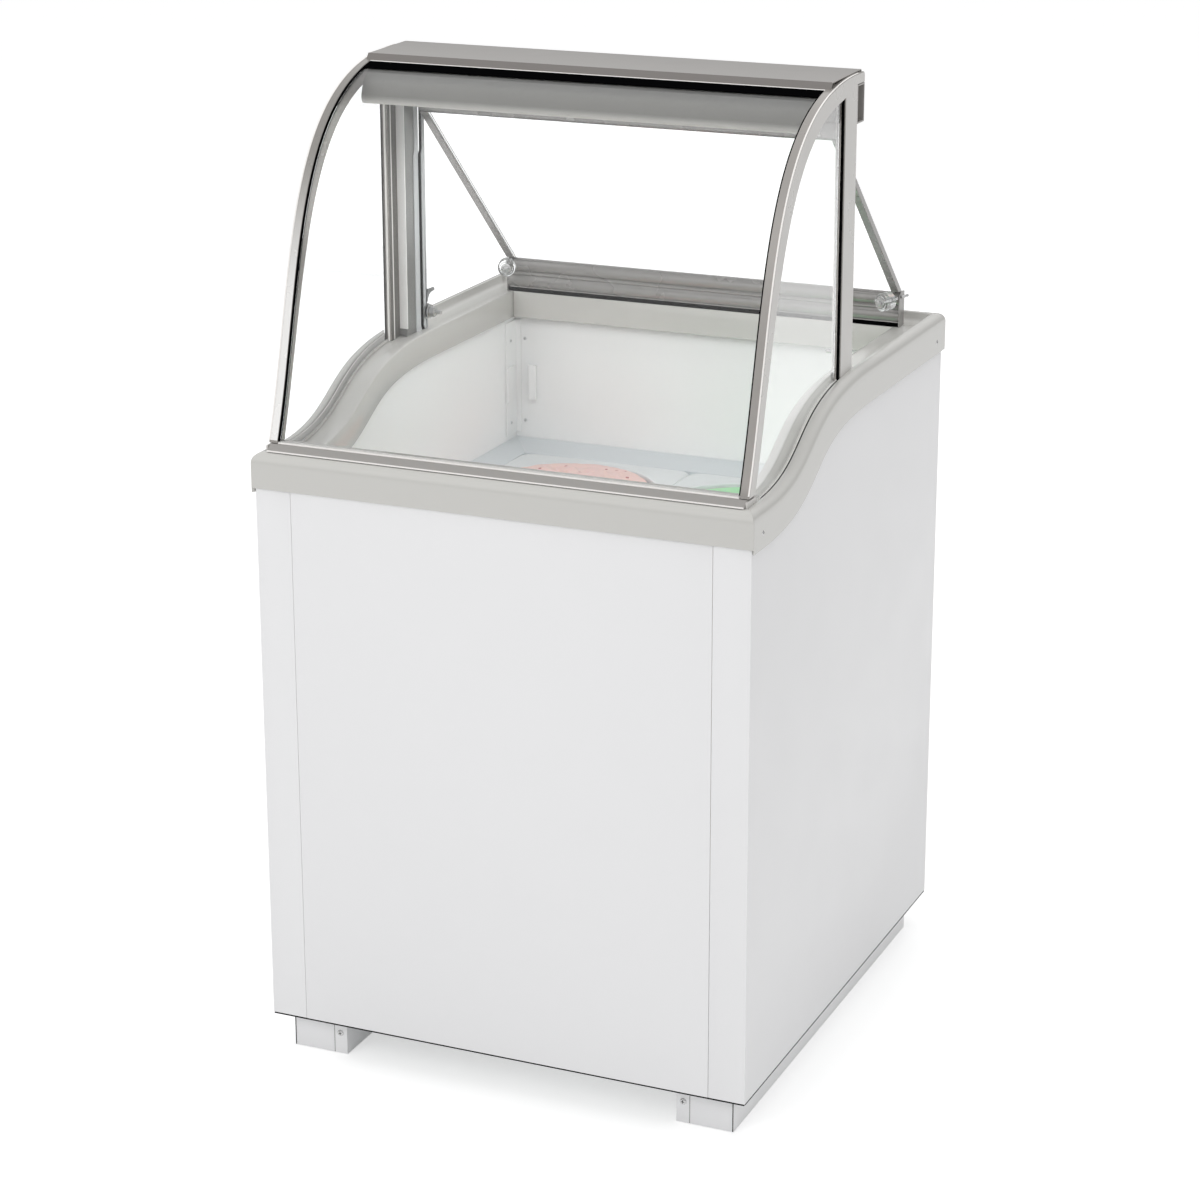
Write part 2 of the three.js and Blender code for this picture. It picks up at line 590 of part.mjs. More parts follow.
function sillRail() {
  const top = FRAME.foot - GAP;
  const foot = RIM.front - RIM_DROP + GAP;
  const edge = FRAME.out - 2;
  const section = [
    [12.2, RIM.front + GAP], [12.2, RIM.front + 2], [22, top], [45.5, top], [45.5, top - 4],
    [32.5, top - 4], [32.5, foot], [26.5, foot], [26.5, RIM.front + GAP],
  ].map(([depth, z]) => [depth - RIM.halfY, z]);
  return prism('x', section, -edge, edge);
}

function sideFrame() {
  const { front, back, slot, slotTop } = POST;
  const floor = rimLine(-RIM_DROP + GAP, front, back);
  const inner = along(barInner, 0).reverse();
  const outline = [
    ...along(barFront, 0), [HEAD.back, HEAD.top - 1.5], [HEAD.back, HEAD.under], [back, HEAD.under],
    ...[...floor].reverse(), [front, slotTop], [front - slot, slotTop - 2], ...inner,
  ];
  const plate = prism('x', outline, FRAME.in, FRAME.out);
  const foot = block(FRAME.in - 5, FRAME.out + 5, -RIM.halfY - 30, 69.5 - RIM.halfY, 800, FRAME.foot);
  const channelTop = BEAM.bottom - GAP;
  const channelFoot = RIM.rear - RIM_DROP + GAP;
  const channel = block(FRAME.in - CHANNEL, FRAME.in + 1, 1, 15, channelFoot, channelTop);
  const channelBack = block(FRAME.in - CHANNEL, FRAME.in, 14, 32, channelFoot, channelTop);
  return join(cut(plate, foot), channel, channelBack);
}

function sideGlass() {
  const { front, slot } = POST;
  const rear = front - slot - GAP;
  const sillBack = 47.5 - RIM.halfY;
  const bottom = rimLine(-RIM_DROP + GAP, sillBack, rear);
  const outline = [...along(barInner, -GAP).reverse(), ...bottom];
  const pane = prism('x', outline, GLASS.sideIn, GLASS.sideOut);
  const sill = block(FRAME.in, FRAME.out, -RIM.halfY - 30, sillBack - 0.5, 800, FRAME.foot + 2);
  const past = block(FRAME.in, FRAME.out, rear, 100, 800, CLEAR_TOP);
  return cut(pane, sill, past);
}

function glassGasket() {
  const { front, slot, slotTop } = POST;
  const floor = rimLine(-RIM_DROP + GAP, front - slot + GAP, front - GAP);
  const outline = [...floor, [front - GAP, slotTop - 0.6], [front - slot + GAP, slotTop - 3]];
  return prism('x', outline, FRAME.in + 1.5, FRAME.out - 1);
}

const LIP_FRONT = -69.5;
function frontGlass() {
  const outside = along(barFront, -GLASS.skin);
  const inside = along(barFront, -GLASS.skin - GLASS.thick).reverse();
  const edge = FRAME.in - GAP;
  const sheet = prism('x', [...outside, ...inside], -edge, edge);
  const sill = block(-FRAME.out, FRAME.out, -RIM.halfY - 30, 100, 700, FRAME.foot);
  const past = block(-FRAME.out, FRAME.out, LIP_FRONT - 2, 200, 800, CLEAR_TOP);
  return cut(sheet, sill, past);
}

function canopy() {
  const rearY = 46;
  const sheet = folded([
    [LIP_FRONT, 1283.2], [-63.5, 1291.4], [HEAD.back, 1293.4], [rearY, 1292], [rearY, 1279],
  ], -1.4);
  const edge = FRAME.out - 5;
  const cover = prism('x', sheet, -edge, edge);
  return cut(cover, mirroredPair(block(FRAME.in - 1, FRAME.out + 5, -100, -56, 1270, 1288)));
}

function rearBeam() {
  const { front, back, bottom, top } = BEAM;
  const tube = cut(block(-FRAME.out, FRAME.out, front, back, bottom, top),
    block(-FRAME.out - 5, FRAME.out + 5, front + 2, back - 2, bottom + 2, top - 2));
  const knuckle = (x) => join(
    rod('x', HINGE.radius, x - 28, x + 28, HINGE.y, HINGE.z, 20),
    block(x - 28, x + 28, back - 1, HINGE.y + 1, HINGE.z + 4.5, HINGE.z + 8),
    block(x - 28, x + 28, HINGE.y - 1, HINGE.y + 1, HINGE.z + 2, HINGE.z + 8));
  return join(tube, knuckle(-240), knuckle(0), knuckle(240));
}

function lampHousing() {
  const sheet = folded([
    [10, 1291], [-56, 1289.8], [-64, 1282], [-70, 1274.8], [-82, 1269], [-93, 1259.5],
    [-100, 1246.5], [-102, 1236], [-97, 1230.5], [-84, 1228.5],
  ], 1.5);
  const edge = FRAME.in - 2.5;
  return prism('x', sheet, -edge, edge);
}

function lamp() {
  const end = FRAME.in - 33;
  const tube = rod('x', 8, 4 - end, end - 4, -66, 1252, 20);
  const socket = (x) => block(x - 6, x + 6, -76, -44, 1240, 1266);
  const bridge = (x) => block(x - 6, x + 6, -54, -44, 1265, 1288);
  return join(tube, socket(-end), socket(end), bridge(-end), bridge(end));
}

function bracketPlate() {
  const x1 = FRAME.in - CHANNEL - GAP;
  const low = RIM.rear - RIM_DROP + GAP;
  const outline = new THREE.Shape();
  outline.moveTo(20, BEAM.bottom - GAP);
  outline.lineTo(20, 1150);
  outline.lineTo(16, 1144);
  outline.lineTo(16, low + 18);
  outline.absarc(34, low + 18, 18, Math.PI, 2 * Math.PI);
  outline.lineTo(46, 1144);
  outline.lineTo(46, BEAM.bottom - GAP);
  return prism('x', outline, x1 - 2, x1);
}

// ---------------------------------------------------------------- rear lid
const lidRun = LID_LINE[1].clone().sub(LID_LINE[0]).normalize();
const lidOut = new THREE.Vector2(-lidRun.y, lidRun.x);
const TOP_RAIL = { front: 31, back: 46.5, bottom: 1203, top: 1226.6 };

function lidStrip(thick, from, to) {
  const start = LID_LINE[0].clone().addScaledVector(lidRun, from);
  const end = LID_LINE[1].clone().addScaledVector(lidRun, to);
  const off = (p, k) => p.clone().addScaledVector(lidOut, k * thick);
  return [off(start, -0.5), off(end, -0.5), off(end, 0.5), off(start, 0.5)];
}

function handleRoom() {
  return block(-LID.half - 5, LID.half + 5, HANDLE.front - 100, HANDLE.back + 100, 800, LID.endZ);
}

function lidFrame() {
  const { front, back, bottom, top } = TOP_RAIL;
  const rail = block(-LID.half, LID.half, front, back, bottom, top);
  const belowHandle = handleRoom();
  const bar = (x0) => cut(prism('x', lidStrip(LID.barThick, -2, 20), x0, x0 + LID.bar), belowHandle);
  const knuckle = (x) => join(
    rod('x', HINGE.radius, x - 24, x + 24, HINGE.y, HINGE.z, 20),
    block(x - 24, x + 24, back - 1, HINGE.y, HINGE.z - 3, HINGE.z));
  return join(rail, bar(LID.half - LID.bar), bar(-LID.half), knuckle(-180), knuckle(180));
}

function lidPane() {
  const edge = LID.half - LID.bar - GAP;
  const sheet = prism('x', lidStrip(LID.pane, -30, 30), -edge, edge);
  const { front, back, bottom } = TOP_RAIL;
  const rail = block(-LID.half, LID.half, front - 60, back + 10, bottom - GAP, 1300);
  return cut(sheet, rail, handleRoom());
}

function lidHandleRail() {
  const low = RIM.rear - RIM_DROP + GAP;
  const shape = new THREE.Shape();
  const { front, back, past } = HANDLE;
  shape.moveTo(back, low);
  shape.lineTo(front, low);
  shape.lineTo(front, low + 6);
  shape.absarc(front + 8, 918, 11, 1.25 * Math.PI, 0.72 * Math.PI, true);
  shape.absarc(front + 11, 940, 11.5, 1.2 * Math.PI, 0.42 * Math.PI, true);
  shape.lineTo(back, 944);
  return prism('x', shape, -LID.half - past, LID.half + past);
}

// A clear roller in front of the handle rail's end, on a screw that runs back into the rail.
const BUMPER = { radius: 12.5, half: 11, pin: 2.5, pinFront: 16, turn: 20 };
function lidBumper() {
  const [x, y, z] = [LID.half - 11.5, HANDLE.front - 26, LID.endZ - 8.8];
  const { radius, half, pin, pinFront, turn } = BUMPER;
  const reach = (HANDLE.front - y - 4 * GAP) / Math.cos((turn * Math.PI) / 180);
  const roller = join(rod('y', radius, -half, half, 0, 0, 28), rod('y', pin, -pinFront, reach, 0, 0, 12));
  return shifted(roller.rotate([0, 0, -turn]), x, y, z);
}

// ---------------------------------------------------------------- assembly
const freezer = new THREE.Group();

function group(name) {
  const set = new THREE.Group();
  set.name = name;
  freezer.add(set);
  return set;
}

function add(set, name, shape, material) {
  const mesh = new THREE.Mesh(geometryOf(shape), material());
  mesh.name = name;
  set.add(mesh);
}

function addPair(set, name, shape, material) {
  add(set, `${name}_left`, mirrored(shape), material);
  add(set, `${name}_right`, shape, material);
}

const base = group('base');
addPair(base, 'base_runner', runner(), WHITE_STEEL);
addPair(base, 'runner_cap', runnerCap(), WHITE_STEEL);
add(base, 'base_pan', basePan(), GALVANISED);

const cabinet = group('cabinet');
addPair(cabinet, 'side_panel', sidePanel(), WHITE_STEEL);
add(cabinet, 'front_panel', frontPanel(), WHITE_STEEL);
add(cabinet, 'rear_panel', rearPanel(), WHITE_STEEL);
add(cabinet, 'service_grille', serviceGrille(), WHITE_STEEL);
add(cabinet, 'foam_insulation', foamInsulation(), FOAM);

const tank = group('tank');
add(tank, 'tank_liner', tankLiner(), WHITE_PLASTIC);
add(tank, 'evaporator_tube', evaporatorTube(), COPPER);
addPair(tank, 'corner_strip', cornerStrip(), WHITE_PLASTIC);
add(tank, 'cover_support_frame', supportFrame(), WHITE_PLASTIC);
const PLACES = [
  { name: 'rear_left', sx: -1, sy: 1, level: 668, color: 0xf3d2cd },
  { name: 'rear_right', sx: 1, sy: 1, level: 660, color: 0xbfe5c0 },
  { name: 'front_left', sx: -1, sy: -1, level: 646, color: 0xf6ecd2 },
  { name: 'front_right', sx: 1, sy: -1, level: 646, color: 0x6b4330 },
];
for (const { name, sx, sy, level, color } of PLACES) {
  add(tank, `tub_cover_${name}`, tubCover(sx, sy), WHITE_PLASTIC);
  add(tank, `tub_${name}`, tub(sx, sy), WHITE_PLASTIC);
  add(tank, `ice_cream_${name}`, iceCream(sx, sy, level), icing(color));
}

const machine = group('machine');
add(machine, 'compressor', compressor(), BLACK);
add(machine, 'condenser', condenser(), GALVANISED);
add(machine, 'fan_shroud', fanShroud(), GALVANISED);
add(machine, 'fan_motor', fanMotor(), BLACK);
add(machine, 'fan_blade', fanBlade(), GALVANISED);
add(machine, 'control_box', controlBox(), GALVANISED);
add(machine, 'thermostat_knob', thermostatKnob(), BLACK);
add(machine, 'lamp_switch', lampSwitch(), BLACK);
add(machine, 'cord_gland', cordGland(), BLACK);

const rims = group('rims');
add(rims, 'rim_front', endRim(-1, RIM.front, RIM.skirt - 6), GREY_PLASTIC);
add(rims, 'rim_rear', endRim(1, RIM.rear, RIM.skirt), GREY_PLASTIC);
addPair(rims, 'rim', sideRim(), GREY_PLASTIC);

const guard = group('glass_guard');
add(guard, 'sill_rail', sillRail(), BROWN_GREY);
addPair(guard, 'side_frame', sideFrame(), BROWN_GREY);
addPair(guard, 'side_glass', sideGlass(), CLEAR_GLASS);
addPair(guard, 'glass_gasket', glassGasket(), BLACK);
addPair(guard, 'bracket_plate', bracketPlate(), GALVANISED);
add(guard, 'front_glass', frontGlass(), CLEAR_GLASS);
add(guard, 'canopy', canopy(), BROWN_GREY);
add(guard, 'rear_beam', rearBeam(), BROWN_GREY);
add(guard, 'lamp_housing', lampHousing(), GALVANISED);
add(guard, 'lamp', lamp(), LAMP_WHITE);

const lid = group('lid');
add(lid, 'lid_frame', lidFrame(), DARK_GREY);
add(lid, 'lid_pane', lidPane(), CLEAR_GLASS);
add(lid, 'lid_handle_rail', lidHandleRail(), DARK_GREY);
addPair(lid, 'lid_bumper', lidBumper(), CLEAR_GLASS);

export default freezer;
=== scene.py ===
"""Looks of a small ice-cream display freezer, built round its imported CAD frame.

Sizes are in millimetres in the frame's own axes: front -Y, right +X, up +Z, floor at 0.
"""

import math

import bmesh
import bpy
import numpy as np
from mathutils import Matrix, Vector


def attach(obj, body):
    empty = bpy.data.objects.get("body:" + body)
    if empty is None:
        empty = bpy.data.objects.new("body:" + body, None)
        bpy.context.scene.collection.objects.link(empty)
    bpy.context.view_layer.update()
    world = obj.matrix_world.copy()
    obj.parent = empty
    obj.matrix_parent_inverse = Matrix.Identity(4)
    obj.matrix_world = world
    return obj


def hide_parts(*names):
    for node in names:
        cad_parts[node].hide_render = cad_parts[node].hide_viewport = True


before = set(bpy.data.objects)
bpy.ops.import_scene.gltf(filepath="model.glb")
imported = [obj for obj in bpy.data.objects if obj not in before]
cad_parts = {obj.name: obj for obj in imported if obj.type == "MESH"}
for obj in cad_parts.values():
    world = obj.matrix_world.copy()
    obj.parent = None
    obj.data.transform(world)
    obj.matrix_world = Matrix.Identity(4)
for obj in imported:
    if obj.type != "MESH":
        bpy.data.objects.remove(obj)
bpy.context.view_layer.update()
MM = 0.001

# ------------------------------------------------------------------ camera
camera_data = bpy.data.cameras.new("camera")
camera = bpy.data.objects.new("camera", camera_data)
bpy.context.scene.collection.objects.link(camera)
bpy.context.scene.camera = camera
CAMERA_AT = (1.587187, -3.679298, 1.888611)
RIGHT = (0.9166428, 0.3997040, -0.0016482)
UP = (-0.1152701, 0.2682932, 0.9564160)
BACK = (0.3827254, -0.8765019, 0.2920030)
SENSOR = 36
FOCAL_SHARE = 3128.09 / 1200  # focal length for each unit of the picture's width
turn = Matrix((RIGHT, UP, BACK)).transposed().to_4x4()
camera.matrix_world = Matrix.Translation(CAMERA_AT) @ turn
camera_data.sensor_width = SENSOR
camera_data.lens = FOCAL_SHARE * SENSOR
camera_data.shift_y = -0.06
camera_data.clip_end = 60


# ------------------------------------------------------------------ shader groups
def srgb(r, g, b):
    """Linear colour of an 8-bit screen colour."""
    c = np.array([r, g, b]) / 255
    low = c / 12.92
    high = ((c + 0.055) / 1.055) ** 2.4
    return (*np.where(c <= 0.04045, low, high).tolist(), 1.0)


def feed(socket, value):
    """Link another node's output to an input, or set a plain value on it."""
    if isinstance(value, bpy.types.NodeSocket):
        socket.id_data.links.new(value, socket)
    else:
        socket.default_value = value


def set_inputs(node, **values):
    """Feed inputs by name, with _ for a space."""
    for title, value in values.items():
        feed(node.inputs[title.replace("_", " ")], value)


def add_node(tree, kind, **values):
    """New shader node of a kind, its inputs fed by name."""
    node = tree.nodes.new("ShaderNode" + kind)
    set_inputs(node, **values)
    return node


def add_math(tree, operation, *values):
    """Output of a Math node on sockets or plain numbers."""
    node = tree.nodes.new("ShaderNodeMath")
    node.operation = operation
    for socket, value in zip(node.inputs, values):
        feed(socket, value)
    return node.outputs[0]


def add_noise(tree, vector, scale, detail):
    """Output of a Noise node, about 0.5 on average."""
    return add_node(tree, "TexNoise", Vector=vector, Scale=scale, Detail=detail).outputs["Fac"]


def add_range(tree, value, low, high, start=0.0, end=1.0):
    """Output of a Map Range node that carries start..end to low..high."""
    node = add_node(tree, "MapRange", Value=value, From_Min=start, From_Max=end, To_Min=low,
                    To_Max=high)
    return node.outputs["Result"]


def add_scaled(tree, colour, factor):
    """A colour times a factor."""
    node = tree.nodes.new("ShaderNodeVectorMath")
    node.operation = "SCALE"
    feed(node.inputs[0], colour)
    feed(node.inputs["Scale"], factor)
    return node.outputs["Vector"]


def add_mix(tree, share, first, second):
    """Mix of two colours: first where share is 0, second where it is 1."""
    node = tree.nodes.new("ShaderNodeMix")
    node.data_type = "RGBA"
    for index, value in ((0, share), (6, first), (7, second)):
        feed(node.inputs[index], value)
    return node.outputs[2]


FLOAT, VECTOR, COLOUR = "NodeSocketFloat", "NodeSocketVector", "NodeSocketColor"


def new_group(name, outputs, **inputs):
    """Shader group on a Vector; each other input is a named default, and its type follows."""
    tree = bpy.data.node_groups.new(name, "ShaderNodeTree")
    tree.interface.new_socket("Vector", in_out="INPUT", socket_type=VECTOR)
    for title, default in inputs.items():
        kind = FLOAT if isinstance(default, float) else COLOUR
        socket = tree.interface.new_socket(
            title.replace("_", " "), in_out="INPUT", socket_type=kind
        )
        socket.default_value = default
    for title, kind in outputs.items():
        tree.interface.new_socket(title, in_out="OUTPUT", socket_type=kind)
    given, out = tree.nodes.new("NodeGroupInput"), tree.nodes.new("NodeGroupOutput")
    return tree, given.outputs, out


def build_grain():
    """Fine skin of a moulded or painted surface: noise as a small bump."""
    tree, given, out = new_group("skin_grain", {"Normal": VECTOR}, Scale=900.0, Height=0.00002)
    grain = add_noise(tree, given["Vector"], given["Scale"], 3)
    bump = add_node(tree, "Bump", Height=grain, Distance=given["Height"])
    set_inputs(out, Normal=bump.outputs["Normal"])
    return tree


def build_drift():
    """Slow change of tone over a surface, and the smudges that dull its gloss."""
    tree, given, out = new_group(
        "tone_drift", {"Colour": COLOUR, "Roughness": FLOAT},
        Colour=(0.8, 0.8, 0.8, 1), Scale=4.0, Amount=0.03, Gloss_Low=0.3, Gloss_High=0.4,
    )
    broad = add_noise(tree, given["Vector"], given["Scale"], 2)
    risen = add_math(tree, "MULTIPLY_ADD", broad, given["Amount"], 1.0)
    centred = add_math(tree, "MULTIPLY_ADD", given["Amount"], -0.5, risen)
    smudge = add_noise(tree, given["Vector"], 14.0, 5)
    set_inputs(
        out, Colour=add_scaled(tree, given["Colour"], centred),
        Roughness=add_range(tree, smudge, given["Gloss Low"], given["Gloss High"], 0.35, 0.65),
    )
    return tree


def build_spangle():
    """Crystal flakes of hot-dip zinc: cells of slightly different tone."""
    tree, given, out = new_group(
        "zinc_spangle", {"Colour": COLOUR, "Roughness": FLOAT},
        Colour=(0.6, 0.6, 0.6, 1), Scale=90.0,
    )
    cells = add_node(tree, "TexVoronoi", Vector=given["Vector"], Scale=given["Scale"])
    chance = add_node(tree, "SeparateColor", Color=cells.outputs["Color"]).outputs
    tone = add_range(tree, chance[0], 0.82, 1.12)
    set_inputs(out, Colour=add_scaled(tree, given["Colour"], tone),
               Roughness=add_range(tree, chance[1], 0.3, 0.5))
    return tree


def build_flecks():
    """Small dark bits scattered in a soft mass: the cores of about a third of the cells."""
    tree, given, out = new_group(
        "flecks", {"Colour": COLOUR},
        Colour=(0.8, 0.6, 0.6, 1), Fleck=(0.1, 0.03, 0.02, 1), Scale=60.0, Size=0.16,
    )
    cells = add_node(tree, "TexVoronoi", Vector=given["Vector"], Scale=given["Scale"])
    chance = add_node(tree, "SeparateColor", Color=cells.outputs["Color"]).outputs
    core = add_math(tree, "LESS_THAN", cells.outputs["Distance"], given["Size"])
    picked = add_math(tree, "LESS_THAN", chance[0], 0.35)
    bit = add_math(tree, "MULTIPLY", core, picked)
    set_inputs(out, Colour=add_mix(tree, bit, given["Colour"], given["Fleck"]))
    return tree


def build_height_blend():
    """Two tones that change over with height."""
    tree, given, out = new_group(
        "height_blend", {"Colour": COLOUR},
        Lower=(0.8, 0.8, 0.8, 1), Upper=(0.4, 0.4, 0.4, 1), From=0.0, To=1.0,
    )
    height = add_node(tree, "SeparateXYZ", Vector=given["Vector"]).outputs["Z"]
    share = add_node(tree, "MapRange", Value=height, From_Min=given["From"], From_Max=given["To"])
    share.interpolation_type = "SMOOTHSTEP"
    set_inputs(out, Colour=add_mix(tree, share.outputs["Result"], given["Lower"], given["Upper"]))
    return tree


GRAIN, DRIFT, SPANGLE, FLECKS, BLEND = (
    build() for build in (build_grain, build_drift, build_spangle, build_flecks, build_height_blend)
)


# ------------------------------------------------------------------ materials
def new_material(name):
    """A material, its node tree and its Principled shader."""
    finish = bpy.data.materials.new(name)
    finish.use_nodes = True
    tree = finish.node_tree
    return finish, tree, tree.nodes["Principled BSDF"]


def place(tree, group, **values):
    """The shared group in this material, on object coordinates, with its own values."""
    node = tree.nodes.new("ShaderNodeGroup")
    node.node_tree = group
    where = tree.nodes.new("ShaderNodeTexCoord")
    set_inputs(node, Vector=where.outputs["Object"], **values)
    return node


def coated(name, colour, low, high, drift=0.03, metal=0.0, grain=900, height=0.00002, coat=0.0,
           shine=0.5):
    """Paint, plastic or anodised metal: drifting tone, smudged gloss and a fine skin."""
    finish, tree, shader = new_material(name)
    tone = place(tree, DRIFT, Colour=colour, Amount=drift, Gloss_Low=low, Gloss_High=high)
    skin = place(tree, GRAIN, Scale=grain, Height=height)
    set_inputs(shader, Base_Color=tone.outputs["Colour"], Roughness=tone.outputs["Roughness"],
               Normal=skin.outputs["Normal"], Metallic=metal, Specular_IOR_Level=shine,
               Coat_Weight=coat, Coat_Roughness=0.08)
    return finish


def graded(name, lower, upper, z_from, z_to, low, high, metal):
    """Metal with painted light: its tone changes over between two heights in metres."""
    finish = coated(name, upper, low, high, 0.02, metal, height=0.000004)
    tree = finish.node_tree
    blend = place(tree, BLEND, Lower=lower, Upper=upper, From=z_from, To=z_to)
    tone = next(n for n in tree.nodes if n.type == "GROUP" and n.node_tree == DRIFT)
    set_inputs(tone, Colour=blend.outputs["Colour"])
    return finish


def zinc_finish():
    """Galvanised sheet: spangle over a coarse skin."""
    finish, tree, shader = new_material("galvanised_zinc")
    flakes = place(tree, SPANGLE, Colour=srgb(205, 208, 208), Scale=90)
    skin = place(tree, GRAIN, Scale=500, Height=0.00002)
    set_inputs(shader, Base_Color=flakes.outputs["Colour"], Roughness=flakes.outputs["Roughness"],
               Normal=skin.outputs["Normal"], Metallic=0.75)
    return finish


def clear_finish(name, tint, rough, veil, index=1.45):
    """Clear sheet whose shadow is only tinted: veil is the share of light that goes through."""
    finish, tree, shader = new_material(name)
    set_inputs(shader, Base_Color=tint, Roughness=rough, IOR=index, Transmission_Weight=1.0)
    ray = tree.nodes.new("ShaderNodeLightPath")
    open_way = add_node(tree, "BsdfTransparent", Color=veil)
    mix = add_node(tree, "MixShader", Fac=ray.outputs["Is Shadow Ray"])
    feed(mix.inputs[1], shader.outputs["BSDF"])
    feed(mix.inputs[2], open_way.outputs["BSDF"])
    set_inputs(tree.nodes["Material Output"], Surface=mix.outputs["Shader"])
    return finish


def icing(name, colour, fleck, size):
    """Frozen cream: flecks in a soft mass, with a little light going through."""
    finish, tree, shader = new_material(name)
    bits = place(tree, FLECKS, Colour=colour, Fleck=fleck, Scale=70.0, Size=size)
    skin = place(tree, GRAIN, Scale=160, Height=0.0006)
    set_inputs(shader, Base_Color=bits.outputs["Colour"], Normal=skin.outputs["Normal"],
               Roughness=0.5, Subsurface_Weight=0.15, Subsurface_Scale=0.004)
    return finish


WHITE = coated("white_powder_coat", srgb(243, 243, 244), 0.3, 0.4, 0.012, grain=700)
LINER = coated("liner_white", srgb(252, 253, 253), 0.3, 0.36, 0.006, grain=500)
COVER = coated("cover_white", srgb(238, 241, 242), 0.3, 0.42, 0.02, grain=900)
CLIP = coated("clip_white", srgb(250, 251, 251), 0.3, 0.42, 0.01)
LEDGE = coated("ledge_white", srgb(224, 229, 232), 0.3, 0.42, 0.02)
TUB = coated("tub_white", srgb(232, 234, 234), 0.45, 0.6, 0.03, grain=1200)
RIM = coated("rim_grey", srgb(206, 205, 201), 0.09, 0.15, 0.012, grain=800, height=0.000004,
             coat=0.3)
GUARD = coated("guard_warm_grey", srgb(166, 163, 160), 0.28, 0.34, 0.03, metal=0.3)
# painted shade: the canopy's grey darkened, for the front face of its fold
BROW_SHADE = coated("guard_brow_painted_shade", srgb(132, 128, 125), 0.3, 0.4, 0.04, metal=0.3)
BAR = coated("bar_warm_grey", srgb(172, 168, 164), 0.2, 0.28, 0.03, metal=0.4)
# painted light: a lighter copy of the bar's grey for the frames' outer side faces, which catch more
# light than the fronts
FACE = coated("bar_side_face", srgb(206, 204, 201), 0.26, 0.34, 0.03, metal=0.25)
# painted reflection on the left bar's front: near-white low down, grey higher up
PAINTED_SHEEN = graded(
    "bar_front_painted_sheen", srgb(250, 249, 247), srgb(150, 147, 143), 0.98, 1.2, 0.2, 0.3, 0.2
)
# pale paint of the posts, also used for painted highlights on edges
POST = coated("post_light_and_highlight", srgb(248, 245, 242), 0.3, 0.4, 0.01)
# the channel's own white, raised above the other whites as a painted highlight
STRIP_AND_HIGHLIGHT = coated("post_strip_white_and_highlight", srgb(255, 254, 252), 0.3, 0.4, 0.0)
WEB = coated("post_web_grey", srgb(140, 140, 138), 0.3, 0.4, 0.04, metal=0.3)
# painted shade: dark grey skin for the posts' inner side faces, which lie in shadow
PAINTED_SHADE = coated("post_side_painted_shade", srgb(108, 105, 101), 0.3, 0.4, 0.04, metal=0.3)
LID_GREY = coated("lid_rail_grey", srgb(160, 158, 156), 0.22, 0.3, 0.04, metal=0.4)
# painted light on the lamp cover: grey over most of it, light at its lower lip where a highlight is
# painted
REFLECTOR = graded(
    "lamp_reflector", srgb(232, 230, 226), srgb(132, 131, 127), 1.229, 1.243, 0.42, 0.5, 0.15
)
PLATE = coated("bracket_light_grey", srgb(216, 218, 220), 0.3, 0.4, 0.04)
ZINC = zinc_finish()
STEEL = coated("bright_steel", srgb(205, 205, 205), 0.18, 0.3, 0.05, metal=1.0, grain=1500)
COPPER = coated("copper_tube", srgb(190, 116, 78), 0.3, 0.45, 0.15, metal=1.0)
BLACK = coated("black_plastic", srgb(34, 35, 36), 0.4, 0.55, 0.1)
BLACK_STEEL = coated("black_enamel", srgb(26, 27, 28), 0.3, 0.45, 0.1, coat=0.3)
# black rubber of the real seals, also used for painted shade in gaps and under edges
GASKET_AND_SHADE = coated("black_rubber_and_painted_shade", srgb(7, 7, 8), 0.6, 0.75, 0.1, shine=0.0)
FOAM = coated("foam_cream", srgb(226, 214, 172), 0.8, 0.95, 0.12, grain=260, height=0.0004)
LAMP = coated("lamp_opal", srgb(246, 246, 242), 0.15, 0.22, 0.01)
PALE = (0.97, 0.975, 0.975, 1)
GLASS = clear_finish("clear_glass", (0.965, 0.97, 0.97, 1), 0.0, PALE)
SIDE_GLASS = clear_finish("side_clear_glass", PALE, 0.0, PALE, 1.7)
CLEAR = clear_finish("clear_plastic", (0.93, 0.945, 0.945, 1), 0.12, (0.8, 0.81, 0.81, 1))
CREAMS = {
    "rear_left": icing("cream_pink", srgb(246, 214, 208), srgb(196, 128, 128), 0.17),
    "rear_right": icing("cream_green", srgb(178, 234, 184), srgb(112, 132, 92), 0.1),
    "front_left": icing("cream_vanilla", srgb(247, 238, 214), srgb(60, 40, 24), 0.06),
    "front_right": icing("cream_chocolate", srgb(122, 82, 60), srgb(48, 26, 18), 0.22),
}


# ------------------------------------------------------------------ mesh making
CAB = "cabinet"
SIDES = (("left", -1.0), ("right", 1.0))


def new_piece(name, mesh, look, body, nodes):
    """Object of a mesh, with its finish, on its body, standing for its CAD nodes."""
    mesh.materials.clear()
    mesh.materials.append(look)
    piece = bpy.data.objects.new(name, mesh)
    bpy.context.scene.collection.objects.link(piece)
    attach(piece, body)
    if nodes:
        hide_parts(*nodes)
    return piece


def round_edges(piece, width, segments=2, angle=40):
    """Small rounds on every edge sharper than the angle."""
    piece.data.shade_smooth()
    bevel = piece.modifiers.new("rounds", "BEVEL")
    bevel.width = width * MM
    bevel.segments = segments
    bevel.limit_method = "ANGLE"
    bevel.angle_limit = math.radians(angle)
    bevel.harden_normals = True


